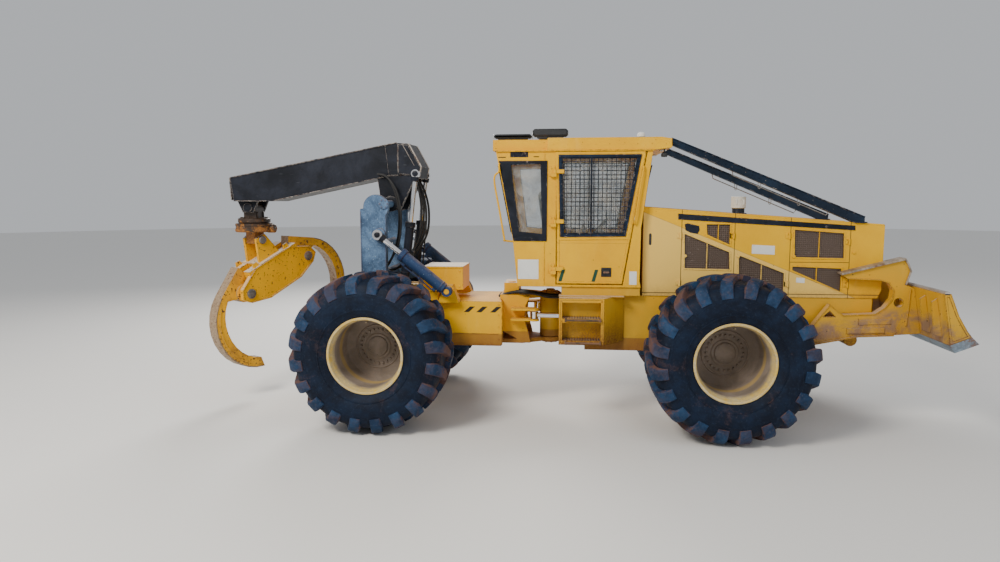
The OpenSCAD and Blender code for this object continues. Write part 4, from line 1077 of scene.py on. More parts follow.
def cabFittings(s):
    # grab rods, hinge bolts, drip rail and the frame of the quarter window on one side
    y = s["face"]
    q = s["quarterWindow"]
    quarter = border([(-0.402, 2.098), (-0.022, 2.096), (-0.018, 3.004), (-0.57, 3.004)], grown(q, -0.008), y - 0.01,
                     y + 0.01, 0.003)
    rods = [tube(curve([(-0.56, y - 0.01, 2.975), (-0.566, y + 0.03, 2.96), (-0.566, y + 0.04, 2.885),
                        (-0.618, y + 0.04, 2.795), (-0.56, y + 0.04, 2.45), (-0.506, y + 0.04, 2.135),
                        (-0.5, y + 0.03, 2.105), (-0.398, y - 0.012, 2.09)], 6), 0.011, 10),
            tube(curve([(1.052, y - 0.01, 2.93), (1.046, y + 0.035, 2.905), (1.005, y + 0.04, 2.62),
                        (0.965, y + 0.04, 2.33), (0.96, y - 0.01, 2.3)], 6), 0.01, 10)]
    pads = [box((0.0, y - 0.002, z - 0.055), (0.066, y + 0.012, z + 0.055), 0.004) for z in (1.785, 2.325, 2.885)]
    heads = bolts([(0.03, y + 0.012, z + d) for z in (1.785, 2.325, 2.885) for d in (-0.034, 0.034)], (0, 1, 0), 0.009,
                  0.007)
    post = strap([(-0.052, 1.6), (-0.052, 3.085)], 0.012, y - 0.002, y + 0.007)
    drip = strap([(-0.6, 3.112), (1.165, 3.112)], 0.01, y - 0.02, y + 0.02)
    spots = [(-0.39, 2.125), (-0.035, 2.13), (-0.035, 2.55), (-0.045, 2.975), (-0.54, 2.975), (-0.47, 2.55),
             (-0.25, 2.99), (-0.2, 2.12)]
    screws = bolts([(x, y + 0.01, z) for x, z in spots], (0, 1, 0), 0.007, 0.004)
    return joined(quarter, screws), joined(*rods), joined(*pads, heads, post, drip)


doorFrame, doorGuard, doorRim, doorLatch, doorLever = doorTrim(cabTrim)
for side in ("right", "left"):
    door = "cab_door_" + side
    for kind, finish, shape, *sharp in (("window_frame", framePaint, doorFrame), ("guard", blackTrim, doorGuard, 60),
                                        ("rim", doorPaint, doorRim), ("latch", plastic, doorLatch),
                                        ("lever", pinSteel, doorLever)):
        placed = moved(mirrored(shape) if side == "right" else shape, hitch)
        addPiece("door_%s_%s" % (kind, side), door, finish, placed, *sharp)
    dress(door, doorPaint)
    dress("door_glass_" + side, glass)

quarterFrame, cabRods, cabIron = cabFittings(cabTrim)
frontPair("quarter_frames", blackTrim, quarterFrame)
frontPair("cab_grab_rods", cabPaint, cabRods)
frontPair("cab_fittings", cabPaint, cabIron)
frontPiece("cab_labels", white,
           joined(mirrored(plate([(-0.35, 1.66), (-0.114, 1.66), (-0.114, 1.886), (-0.352, 1.886)], 0.708, 0.713,
                                 0.001)), mirrored(plate(rect(0.915, 1.606, 0.998, 1.758), 0.708, 0.712, 0.001))))


def endWindows():
    # rubber frames round the front and rear windows, leaning with the walls, and a wire guard at the rear
    front = leaning(upright(border(rect(-0.6, 2.262, 0.6, 3.028), rect(-0.56, 2.3, 0.56, 2.99),
                                   -0.006, 0.01), (1.041, 0, 0)), 2.262, 0.1331)
    rear = leaning(upright(border(rect(-0.6, 2.172, 0.6, 2.978), rect(-0.56, 2.21, 0.56, 2.94),
                                  -0.012, 0.006), (-0.424, 0, 0)), 2.172, -0.1953)
    net = leaning(upright(wires(rect(-0.585, 2.19, 0.585, 2.96), 0.06, 0.0038, 0.0), (-0.44, 0, 0)), 2.172, -0.1953)
    wiper = joined(tube([(1.062, 0.1, 2.27), (1.082, 0.11, 2.3), (1.14, -0.22, 2.74)], 0.006, 8),
                   tube([(1.108, -0.02, 2.52), (1.172, -0.4, 2.96)], 0.007, 6),
                   disc([(0.022, -0.02), (0.022, 0.012), (0.016, 0.02)], (1.062, 0.1, 2.27), "x", 20))
    return joined(front, rear), net, wiper


windowFrames, rearNet, wiper = endWindows()
frontPiece("end_window_frames", blackTrim, windowFrames)
frontPiece("rear_window_guard", blackTrim, rearNet, 60)
frontPiece("wiper", blackTrim, wiper)


def roofTrim():
    # vent slots in the rear box, rolled edge of the roof, seams' rivets
    slots = joined(box((-0.44, 0.706, 3.044), (-0.236, 0.713, 3.104), 0.002),
                   box((-0.575, 0.707, 3.04), (-0.49, 0.712, 3.05), 0.001),
                   box((-0.175, 0.707, 3.044), (-0.115, 0.712, 3.054), 0.001))
    louvres = joined(*[turned(box((-0.432, 0.712, z), (-0.244, 0.72, z + 0.003), 0.001), (1, 0, 0), 30, (0, 0.712, z))
                       for z in (3.054, 3.066, 3.078, 3.09)])
    edge = tube([(-0.01, 0.702, 3.25), (1.245, 0.702, 3.25), (1.35, 0.702, 3.234), (1.35, 0.702, 3.145)], 0.009, 10)
    rivets = bolts([(x, 0.71, 3.185) for x in np.arange(0.05, 1.3, 0.155)], (0, 1, 0), 0.007, 0.004)
    corner = bolts([(x, 0.65, z) for x in (-0.61, -0.06) for z in (3.15, 3.21)], (0, 1, 0), 0.007, 0.004)
    return slots, louvres, joined(edge, rivets, corner)


ventSlots, ventLouvres, roofEdge = roofTrim()
frontPair("vent_slots", blackTrim, joined(ventSlots, ventLouvres))
frontPair("roof_edges", roofPaint, roofEdge)

lamps = {"bars": [((-0.19, 0.58, 3.2543), (0.21, 0.7, 3.364)), ((-0.64, 0.51, 3.2443), (-0.2, 0.63, 3.314))],
         "domeAt": (1.03, -0.56)}


def roofLamps(s):
    # two pods a side with rounded ends, lenses at front and rear and a rib along the top; a pale dome stands ahead
    cases, lenses = [], []
    for (x0, y0, z0), (x1, y1, z1) in s["bars"]:
        y, z = (y0 + y1) / 2, (z0 + z1) / 2 + 0.006
        cases += [box((x0, y0, z0 + 0.018), (x1, y1, z1 - 0.004), 0.022),
                  box((x0 + 0.05, y0 + 0.025, z0), (x1 - 0.05, y1 - 0.025, z0 + 0.03), 0.006),
                  box((x0 + 0.03, y - 0.01, z1 - 0.008), (x1 - 0.03, y + 0.01, z1), 0.003)]
        for x, out in ((x0, -1), (x1, 1)):
            verts, faces = disc([(0.03, 0.0), (0.03, 0.003), (0.022, 0.007), (0.006, 0.009)][::out], (0, 0, 0), "x", 24)
            lenses.append(moved((verts * (out, 1, 1), faces), (x - 0.002 * out, y, z)))
        lenses.append(bolts([(x, y, z1) for x in np.linspace(x0 + 0.06, x1 - 0.06, 4)], (0, 0, 1), 0.009, 0.0))
    x, y = s["domeAt"]
    base = disc([(0.05, 3.2545), (0.05, 3.268), (0.042, 3.272)], (x, y, 0), "z", 32)
    dome = disc([(0.044, 3.27), (0.045, 3.29), (0.039, 3.31), (0.024, 3.321), (0.004, 3.3245)], (x, y, 0), "z", 32)
    nose = joined(disc([(0.02, 3.085), (0.034, 3.078), (0.036, 3.05), (0.03, 3.04), (0.004, 3.038)], (1.28, -0.64, 0),
                       "z", 24), tube([(1.28, -0.64, 3.08), (1.28, -0.64, 3.13)], 0.008, 8))
    eyes = [disc([(0.043, 0.004), (0.043, -0.004), (0.02, -0.01), (0.004, -0.011)], (1.28, yy, 3.1215), "z", 32)
            for yy in (-0.5, 0.5)]
    return joined(bothSides(joined(*cases)), base, nose), joined(bothSides(joined(*lenses)), *eyes), dome


lampCases, lampLenses, dome = roofLamps(lamps)
frontPiece("lamp_pods", plastic, lampCases, replaces=["roof_lamps"])
frontPiece("lamp_lenses", lampGlass, lampLenses)
frontPiece("roof_dome", white, dome)
dress("cab_shell", cabPaint)
dress("cab_roof", roofPaint)
dress("cab_glass", glass)

seat = {
    "cover": (0.47, 0.5, 0.125),
    "coverAt": (0.18, 0, 1.966),
    "back": (0.115, 0.48, 0.66),
    "backAt": (-0.052, 0, 2.378),
    "cap": 0.024,           # no point of a cushion swells further than this
    "lean": -8.4,
    "room": 0.030,          # each block is drawn smaller by this, to swell into
}


def pillow(size, power=0.3, rows=30, columns=64):
    # superellipsoid: sines and cosines raised to a small power keep the block's faces nearly flat
    bend = lambda v: np.sign(v) * np.abs(v) ** power
    u = np.linspace(-np.pi / 2 + 0.02, np.pi / 2 - 0.02, rows)[:, None]
    v = np.linspace(0, 2 * np.pi, columns, endpoint=False)[None]
    points = np.stack([bend(np.cos(u)) * bend(np.cos(v)), bend(np.cos(u)) * bend(np.sin(v)), bend(np.sin(u)) + 0 * v],
                      -1)
    return capped(points * np.array(size) / 2)


def inflated(piece, most):
    # air pressure fills the cover like foam; no point moves further than the cap
    scene = bpy.context.scene
    voxels = piece.modifiers.new("even", "REMESH")
    voxels.mode, voxels.voxel_size = "VOXEL", 0.006
    graph = bpy.context.evaluated_depsgraph_get()
    piece.data = bpy.data.meshes.new_from_object(piece.evaluated_get(graph))
    piece.modifiers.clear()
    mesh = piece.data
    start = np.empty(len(mesh.vertices) * 3, np.float32)
    mesh.vertices.foreach_get("co", start)
    air = piece.modifiers.new("air", "CLOTH")
    air.settings.use_pressure = True
    air.settings.uniform_pressure_force = 4
    air.settings.effector_weights.gravity = 0
    air.settings.tension_stiffness = 20
    for number in range(1, 21):
        scene.frame_set(number)
    end = np.empty_like(start)
    piece.evaluated_get(bpy.context.evaluated_depsgraph_get()).data.vertices.foreach_get("co", end)
    piece.modifiers.clear()
    step = (end - start).reshape(-1, 3)
    size = np.linalg.norm(step, axis=1)[:, None]
    step *= np.minimum(1, most / np.maximum(size, 1e-6))
    mesh.vertices.foreach_set("co", (start.reshape(-1, 3) + step).ravel())
    mesh.polygons.foreach_set("use_smooth", np.ones(len(mesh.polygons), bool))
    scene.frame_set(1)
    smooth = piece.modifiers.new("smooth", "SUBSURF")
    smooth.levels = smooth.render_levels = 1


base = moved(pillow([c - seat["room"] for c in seat["cover"]]), seat["coverAt"])
back = moved(turned(pillow([c - seat["room"] for c in seat["back"]]), (0, 1, 0), seat["lean"]), seat["backAt"])
for name, shape in (("seat_cushion", base), ("seat_back", back)):
    cushion = frontPiece(name, cloth, shape, 80, replaces=["cab_seat"] if name == "seat_cushion" else ())
    inflated(cushion, seat["cap"])


def piping(wide, high, bend=0.25):
    # closed run of a seam round a cushion, square with rounded corners
    run = [(wide * np.sign(math.cos(a)) * abs(math.cos(a)) ** bend,
            high * np.sign(math.sin(a)) * abs(math.sin(a)) ** bend)
           for a in np.linspace(0, 2 * math.pi, 40, endpoint=False)]
    return run + run[:1]


seamRadius = 0.005
baseSeam = tube([(seat["coverAt"][0] + x, y, seat["coverAt"][2]) for x, y in piping(0.232, 0.247)], seamRadius, 6)
backSeam = moved(tube([(0.0, y, z) for y, z in piping(0.237, 0.327)], seamRadius, 6), seat["backAt"])
seams = joined(baseSeam, turned(backSeam, (0, 1, 0), seat["lean"], seat["backAt"]))
under = joined(box((0.0, -0.15, 1.6343), (0.3, 0.15, 1.66), 0.006),
               *[box((0.03, y - 0.012, 1.655), (0.27, y + 0.012, 1.86), 0.004) for y in (-0.11, 0.11)],
               *[box((0.02, -0.13, z), (0.28, 0.13, z + 0.014), 0.003) for z in (1.7, 1.76, 1.82)],
               box((-0.05, -0.23, 1.875), (0.4, 0.23, 1.903), 0.008))
frontPiece("seat_piping", plastic, seams)
frontPiece("seat_base", plastic, under)


def cabinPanels():
    # dash with its screen, side consoles with levers, steering column and wheel
    dash = joined(box((0.82, -0.35, 1.6343), (0.94, 0.35, 2.08), 0.015),
                  turned(box((0.8, -0.34, 2.07), (0.935, 0.34, 2.118), 0.018), (0, 1, 0), 8, (0.87, 0, 2.09)),
                  box((0.796, -0.2, 1.95), (0.824, 0.2, 2.05), 0.006))
    sides = bothSides(joined(box((0.0, 0.3, 1.6343), (0.5, 0.42, 2.06), 0.018),
                             box((0.06, 0.306, 2.05), (0.44, 0.414, 2.118), 0.022)))
    levers = bothSides(joined(tube(curve([(0.4, 0.36, 2.1), (0.41, 0.358, 2.14), (0.402, 0.356, 2.19)], 5), 0.009, 8),
                              disc([(0.008, 0.0), (0.02, 0.01), (0.024, 0.045), (0.02, 0.07), (0.006, 0.08)],
                                   (0.402, 0.356, 2.18), "z", 20)))
    column = tube([(0.85, 0, 1.98), (0.715, 0, 2.09), (0.59, 0, 2.197)], 0.03, 16)
    a = np.linspace(0, 2 * np.pi, 14, endpoint=False)
    wheel = lathe(np.stack([0.17 + 0.013 * np.cos(a), 0.013 * np.sin(a)], 1), (0, 0, 0), "z", 56)
    spokes = joined(*[turned(box((0.02, -0.013, -0.006), (0.165, 0.013, 0.004), 0.003), (0, 0, 1), d)
                      for d in (0, 120, 240)],
                    disc([(0.034, -0.05), (0.04, -0.012), (0.036, 0.006), (0.004, 0.01)], (0, 0, 0), "z", 28))
    return joined(dash, sides, levers, column, moved(turned(joined(wheel, spokes), (0, 1, 0), -50), (0.58, 0, 2.205)))


frontPiece("cab_panels", plastic, cabinPanels(), replaces=["cab_controls"])
frontPiece("cab_mat", hose,
           joined(box((-0.28, -0.62, 1.6345), (0.98, 0.62, 1.642), 0.003),
                  *[box((x, -0.6, 1.64), (x + 0.012, 0.6, 1.646), 0.002) for x in np.arange(-0.24, 0.96, 0.06)]))
print("cab made")

step = {"x": (0.19, 0.602), "y": 0.912, "rungs": (1.226, 0.966)}


def stepTrim(s):
    # two round rungs on stirrups, toothed treads inside the openings, a raised border and bolts
    x0, x1 = s["x"]
    rungs = [joined(tube([(x0 + 0.012, s["y"] + 0.026, z), (x1 - 0.012, s["y"] + 0.026, z)], 0.012, 12),
                    *[box((x - 0.01, 0.89, z - 0.02), (x + 0.01, s["y"] + 0.04, z + 0.02), 0.004)
                      for x in (x0 + 0.012, x1 - 0.012)]) for z in s["rungs"]]
    teeth = [box((x, 0.785, z), (x + 0.006, s["y"] - 0.004, z + 0.016), 0.001) for z in (1.24, 0.99)
             for x in np.arange(0.18, 0.585, 0.03)]
    return joined(*rungs), joined(*teeth), joined(
        border(rect(0.128, 0.943, 0.631, 1.467), rect(0.146, 0.961, 0.613, 1.449), s["y"] - 0.002, s["y"] + 0.005),
        bolts([(x, s["y"], z) for x in (0.156, 0.603) for z in (1.214, 1.435)], (0, 1, 0), 0.009, 0.007),
        strap([(0.12, 1.474), (0.86, 1.474)], 0.006, 0.605, 0.8))


stepRungs, stepTeeth, stepBorder = stepTrim(step)
frontPair("step_rungs", mud, stepRungs)
frontPair("step_treads", mud, stepTeeth)
frontPair("step_borders", stepPaint, stepBorder)
dress("step_boxes", stepPaint)
dress("front_frame", frontGold)
dress("front_axle", mud)
dress("rear_axle", mud)

horn = [(3.21, 1.752), (3.869, 1.924)]
hornFront = [(3.869, 1.924), (3.905, 1.86), (3.935, 1.79), (3.89, 1.64)]
cutOut = [(3.274, 1.703), (3.62, 1.69), (3.72, 1.66), (3.77, 1.58), (3.76, 1.48), (3.69, 1.38), (3.591, 1.31),
          (3.255, 1.291)]
footLine = [(2.4, 0.82), (2.52, 0.815), (2.909, 0.955), (3.418, 1.06), (3.792, 1.079)]
gusset = [(2.9, 1.118), (3.111, 1.406), (3.255, 1.291)]
arm = {"low": 0.63, "high": 0.72, "pivot": (2.45, 0.92)}


def armTrim(s):
    # flanges welded along the arm's edges, wear plates, weld beads and pivot caps
    low, high, (px, pz) = s["low"], s["high"], s["pivot"]
    lip = joined(strap(horn, 0.022, low - 0.045, high + 0.03), strap(hornFront, 0.016, low - 0.02, high + 0.018))
    web = joined(strap(cutOut, 0.012, low - 0.004, high + 0.01), strap(footLine, 0.016, low - 0.03, high + 0.026),
                 strap(gusset, 0.012, low, high + 0.008),
                 plate([(3.3, 1.09), (3.7, 1.105), (3.7, 1.165), (3.3, 1.15)], high - 0.002, high + 0.01, 0.003),
                 plate([(3.42, 1.185), (3.76, 1.2), (3.76, 1.262), (3.42, 1.24)], high - 0.002, high + 0.008, 0.003))
    beads = joined(weld([(3.3, high + 0.003, 1.088), (3.5, high + 0.003, 1.095), (3.7, high + 0.003, 1.103)]),
                   weld([(3.92, high + 0.002, 1.18), (3.935, high + 0.002, 1.36), (3.945, high + 0.002, 1.6)], 0.009))
    pin = joined(disc([(0.1, high - 0.002), (0.1, high + 0.01), (0.092, high + 0.016), (0.056, high + 0.016)],
                      (px, 0, pz), "y", 40), boltRing((px, high + 0.016, pz), 0.078, 8, (0, 1, 0), 0.01, 0.008))
    return lip, joined(web, beads), pin


armLip, armWeb, armPin = armTrim(arm)
bladePair("arm_lips", bareSteel("wornLip", "worn_steel", (0.42, 0.34, 0.26), 0.25, 0.3), armLip)
bladePair("arm_flanges", bladePaint, armWeb)
bladePair("arm_pin_caps", bladePaint, armPin)


def bladeTrim():
    # end cheeks, a worn rolled top edge, ribs behind the face, and two rows of bolts in the cutting edge
    outline = [(3.992, 1.612), (4.082, 1.108), (4.27, 1.186), (4.232, 1.236), (4.137, 1.4), (4.05, 1.612)]
    cheeks = bothSides(joined(plate(outline, 1.346, 1.352, 0.002),
                              border(outline, grown(outline, -0.018), 1.348, 1.357)))
    edge = tube([(4.022, -1.35, 1.622), (4.022, 1.35, 1.622)], 0.026, 14)
    ribs = joined(*[plate([(3.995, 1.56), (4.072, 1.15), (3.985, 1.18), (3.94, 1.52)], y - 0.01, y + 0.01, 0.003)
                    for y in (-1.2, -0.95, -0.3, 0.3, 0.95, 1.2)])
    lean = math.atan2(0.094, 0.228)
    heads = []
    for y in np.arange(-1.29, 1.3, 0.129):
        heads += [(4.246, y, 1.078), (4.306, y, 1.102)]
    return cheeks, edge, ribs, bolts(heads, (-math.sin(lean), 0, math.cos(lean)), 0.017, 0.008)


bladeCheeks, bladeEdge, bladeRibs, edgeBolts = bladeTrim()
bladePiece("blade_cheeks", bladePaint, bladeCheeks)
bladePiece("blade_top_edge", bareSteel("bladeEdge", "worn_steel", (0.55, 0.5, 0.46), 0.4, 0.1), bladeEdge)
bladePiece("blade_ribs", bladePaint, bladeRibs)
bladePiece("cutting_edge_bolts", boltSteel, edgeBolts)
for name in ("blade", "blade_arms"):
    dress(name, bladePaint)
dress("cutting_edge", edgeSteel)
print("blade made")


def barrelTrim(length, radius, eye, pipeSide):
    # gland nut, ring at the foot, two port blocks, and the hard pipe between them with its clamp
    gland = lathe([(radius + 0.001, length - 0.058), (radius + 0.012, length - 0.054), (radius + 0.012, length - 0.006),
                   (radius + 0.004, length + 0.004), (0.036, length + 0.006), (0.036, length - 0.01)], (0, 0, 0), "x",
                  40)
    foot = lathe([(radius - 0.004, eye * 0.8 + 0.03), (radius + 0.006, eye * 0.8 + 0.036),
                  (radius + 0.006, eye * 0.8 + 0.048), (radius - 0.004, eye * 0.8 + 0.054)], (0, 0, 0), "x", 40)
    up = radius * pipeSide
    ports = [box((x - 0.022, -0.018, min(up * 0.9, up + 0.03 * pipeSide)),
                 (x + 0.022, 0.018, max(up * 0.9, up + 0.03 * pipeSide)), 0.004) for x in (eye + 0.075, length - 0.1)]
    line = tube(curve([(eye + 0.075, 0, up + 0.026 * pipeSide), (eye + 0.13, 0, up + 0.03 * pipeSide),
                       (length * 0.55, 0, up + 0.024 * pipeSide), (length - 0.155, 0, up + 0.03 * pipeSide),
                       (length - 0.1, 0, up + 0.024 * pipeSide)], 6), 0.009, 8)
    clamp = box((length * 0.5 - 0.012, -0.016, min(up * 0.92, up + 0.036 * pipeSide)),
                (length * 0.5 + 0.012, 0.016, max(up * 0.92, up + 0.036 * pipeSide)), 0.003)
    return joined(gland, foot, *ports, clamp), line


def rodEye(reach, eye, wide, pin):
    # collar behind the eye, and the pin's two ends
    collar = lathe([(0.031, reach - eye - 0.045), (0.044, reach - eye - 0.04), (0.048, reach - eye + 0.01),
                    (0.031, reach - eye + 0.014)], (0, 0, 0), "x", 32)
    ends = [disc([(pin, s * (wide / 2 - 0.002)), (pin, s * (wide / 2 + 0.012)), (pin * 0.8, s * (wide / 2 + 0.016))],
                 (reach, 0, 0), "y", 32) for s in (-1, 1)]
    return joined(collar, *ends)


cylinders = {
    # from, to, distance from the middle, barrel length and radius, eye radius and width, start measured from
    "blade": ((2.65, 1.42), (3.25, 1.05), 0.36, 0.555, 0.055, 0.062, 0.08, hitch),
    "arch": ((0.76, 1.5), (-0.056, 2.16), 0.661, 0.7, 0.068, 0.06, 0.07, rearAxle),
    "boom": ((0.17, 1.6), (0.328, 2.88), 0.307, 0.7, 0.052, 0.05, 0.07, rearAxle),
}
cylinderPin = 0.034
barrelFinish = {"blade": bladePaint, "arch": cylinderPaint, "boom": blackTrim}
for name, (start, end, y, length, radius, eye, wide, origin) in cylinders.items():
    stroke = math.hypot(end[0] - start[0], end[1] - start[1])
    trim, line = barrelTrim(length, radius, eye, 1 if name == "arch" else -1)
    placed = lambda shape: moved(bothSides(onCylinder(shape, start, end, y)), origin)
    addPiece(name + "_glands", name + "_barrels", barrelFinish[name], placed(trim))
    addPiece(name + "_pipes", name + "_barrels", hose if name == "boom" else barrelFinish[name], placed(line))
    rodFinish = bladePaint if name == "blade" else blackTrim
    addPiece(name + "_rod_eyes", name + "_rods", rodFinish, placed(rodEye(stroke, eye, wide, cylinderPin)))
    dress(name + "_barrels", barrelFinish[name])
    dress(name + "_rods", chrome)
for side in ("right", "left"):
    dress("steering_barrel_" + side, frontGold)
    dress("steering_rod_" + side, chrome)


def hitchTrim():
    # bolted caps over the two articulation pins
    ends = ((1.42, 1), (0.825, -1))
    caps = [disc([(0.12, z), (0.12, z + d * 0.012), (0.105, z + d * 0.02), (0.03, z + d * 0.022)], (0, 0, 0), "z", 40)
            for z, d in ends]
    heads = [boltRing((0, 0, z + d * 0.018), 0.088, 8, (0, 0, d), 0.011, 0.009, 0.2) for z, d in ends]
    return joined(*caps, *heads)


def hitchHoses():
    # bundle of hoses that sags from the front frame's rear wall to the rear frame's front wall
    made = []
    for i, y in enumerate((-0.11, -0.05, 0.01, 0.07, 0.13)):
        sag = 0.045 + 0.012 * (i % 3)
        made.append(tube(curve([(0.545, y * 1.3 - 0.16, 1.385), (0.4, y * 1.25 - 0.17, 1.392),
                                (0.2, y * 1.1 - 0.2, 1.42 - sag * 0.4), (0.0, y - 0.27, 1.46 - sag),
                                (-0.22, y * 0.9 - 0.28, 1.465 - sag * 0.3), (-0.42, y * 0.9 - 0.2, 1.452),
                                (-0.62, y * 1.1 - 0.12, 1.395)], 8), 0.015, 10))
    return joined(*made)


rearPiece("hitch_caps", frameGold, hitchTrim())
hoses = addPiece("hitch_hoses", None, hose, moved(hitchHoses(), hitch), 80)
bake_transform(hoses)


def deckTrim():
    # bolted seam, strips along the foot and the deck, and a weld line on one side of the rear frame
    y = 0.48
    seam = joined(strap([(-0.56, 1.355), (-0.56, 0.84)], 0.01, y - 0.002, y + 0.008),
                  bolts([(-0.6, y, z) for z in (0.9, 1.05, 1.2, 1.32)], (0, 1, 0), 0.011, 0.008))
    foot = strap([(-1.8, 0.832), (-0.575, 0.832)], 0.014, y - 0.05, y + 0.012)
    tail = strap([(-2.255, 0.832), (-2.095, 0.832)], 0.014, y - 0.05, y + 0.012)
    line = weld([(-1.78, y + 0.002, 0.972), (-1.3, y + 0.002, 0.97), (-0.6, y + 0.002, 0.968)], 0.005)
    top = strap([(-2.255, 1.474), (-1.335, 1.474)], 0.008, y - 0.06, y + 0.008)
    return joined(seam, foot, tail, line, top)


rearPair("rear_frame_trim", frameGold, deckTrim())
rearPiece("tow_ear_welds", frameGold,
          joined(*[weld([(-2.263, -0.105, z), (-2.263, 0.0, z), (-2.263, 0.105, z)], 0.009)
                   for z in (0.957, 1.003, 1.117, 1.163)], plate(rect(-2.266, 0.87, -2.259, 1.42), -0.4, 0.4, 0.002)))
dress("rear_frame", frameGold)


def winchTrim():
    # lid with its rim and bolts, fairlead rollers between cheeks at the rear, and the tank's cap
    lid = joined(plate(rect(-1.555, 1.7505, -1.055, 1.757), -0.285, 0.285, 0.002),
                 strap([(-1.552, 1.742), (-1.058, 1.742)], 0.014, 0.276, 0.286),
                 strap([(-1.552, 1.742), (-1.058, 1.742)], 0.014, -0.286, -0.276))
    rollers = joined(*[disc([(0.022, -0.2), (0.03, -0.19), (0.03, 0.19), (0.022, 0.2)], (-1.59, 0, z), "y", 24)
                       for z in (1.545, 1.665)],
                     *[disc([(0.02, 1.53), (0.026, 1.54), (0.026, 1.67), (0.02, 1.68)], (-1.592, y, 0), "z", 24)
                       for y in (-0.1, 0.1)])
    cheeks = joined(*[box((-1.625, y - 0.01, 1.505), (-1.548, y + 0.01, 1.705), 0.004) for y in (-0.21, 0.21)])
    heads = bolts([(x, -0.28, z) for x in (-1.51, -1.1) for z in (1.51, 1.7)], (0, -1, 0), 0.012, 0.008)
    cap = disc([(0.044, 1.5552), (0.048, 1.557), (0.048, 1.561), (0.04, 1.564), (0.004, 1.5645)], (-0.47, -0.11, 0),
               "z", 28)
    return joined(lid, heads), joined(rollers, cheeks), cap


winchLid, winchRollers, tankCap = winchTrim()
rearPiece("winch_lid", boxPaint, winchLid)
rearPiece("winch_rollers", pinSteel, winchRollers)
rearPiece("tank_cap", frameGold, tankCap)
dress("winch_box", boxPaint)


def archTrim():
    # bolted cap at the top of a post, the cylinder's eye pin, stiffening ribs and weld beads, one side
    y = 0.58
    cap = lambda x, z, r, out: joined(disc([(r, out - 0.002), (r, out + 0.012), (r - 0.008, out + 0.018),
                                            (0.012, out + 0.018)], (x, 0, z), "y", 36),
                                      boltRing((x, out + 0.018, z), r - 0.018, 6, (0, 1, 0), 0.009, 0.007))
    top = cap(0.0, 2.52, 0.062, y)
    eye = disc([(0.052, y - 0.002), (0.052, y + 0.0275)], (-0.056, 0, 2.16), "y", 28)
    rib = joined(strap([(-0.282, 1.45), (-0.282, 2.43)], 0.01, y - 0.085, y + 0.006),
                 strap([(0.012, 1.45), (0.012, 2.08)], 0.01, y - 0.085, y + 0.006))
    beads = joined(weld([(-0.22, 0.497, 2.01), (-0.16, 0.497, 2.072), (-0.1, 0.497, 2.01)], 0.008),
                   weld([(-0.16, 0.497, 1.655), (-0.1, 0.497, 1.717), (-0.04, 0.497, 1.655)], 0.008))
    return joined(top, rib, beads), eye


archIron, archEye = archTrim()
addPiece("arch_trim", "arch", archPaint, moved(bothSides(archIron), rearAxle))
addPiece("arch_eye_pins", "arch", pinSteel, moved(bothSides(archEye), rearAxle))
addPiece("arch_foot_caps", "rear_chassis", archPaint,
         moved(bothSides(joined(disc([(0.07, 0.596), (0.07, 0.608), (0.06, 0.614), (0.012, 0.614)], (-0.1, 0, 1.25),
                                     "y", 36), boltRing((-0.1, 0.612, 1.25), 0.052, 6, (0, 1, 0), 0.009, 0.007))),
               rearAxle))
dress("arch", archPaint)


def boomTrim():
    # flange strips along the beam's edges, doubled cheeks with bright rims, seams and the pivot's caps
    y = 0.24
    topRun = [(-2.05, 2.846), (0.08, 3.256)]
    footRun = [(-2.01, 2.556), (-1.506, 2.556), (-0.17, 2.83)]
    flanges = joined(strap(topRun, 0.01, y - 0.02, y + 0.012), strap(footRun, 0.01, y - 0.02, y + 0.012))
    double = plate([(0.1, 2.878), (0.258, 2.868), (0.342, 2.832), (0.374, 2.964), (0.226, 3.23), (0.1, 3.237)],
                   y - 0.002, y + 0.014, 0.003)
    rims = joined(strap([(0.232, 3.243), (0.383, 2.966), (0.35, 2.822)], 0.01, y - 0.03, y + 0.013),
                  strap([(0.15, 3.246), (0.3, 2.98)], 0.004, y + 0.01, y + 0.0145))
    seams = joined(weld([(0.098, y + 0.002, 2.88), (0.092, y + 0.002, 3.05), (0.098, y + 0.002, 3.235)], 0.006),
                   strap([(-0.06, 3.222), (-0.02, 2.862)], 0.004, y, y + 0.004))
    pivot = joined(disc([(0.095, y - 0.002), (0.095, y + 0.012), (0.085, y + 0.018), (0.05, y + 0.018)], (0, 0, 2.52),
                        "y", 40), disc([(0.05, y - 0.004), (0.05, 0.25), (0.044, 0.2555)], (0.328, 0, 2.88), "y", 32))
    tip = joined(disc([(0.062, 0.169), (0.062, 0.182), (0.054, 0.188), (0.01, 0.188)], (-1.865, 0, 2.47), "y", 32),
                 strap([(-2.04, 2.566), (-2.056, 2.838)], 0.012, 0.0, y + 0.006))
    return joined(flanges, double, seams, pivot, tip), rims


boomIron, boomRims = boomTrim()
addPiece("boom_trim", "boom", blackBoom, moved(bothSides(boomIron), rearAxle))
addPiece("boom_rims", "boom", bareSteel("boomRimSteel", "worn_steel", (0.55, 0.48, 0.42), 0.3, 0.15),
         moved(bothSides(boomRims), rearAxle))
dress("boom", blackBoom)


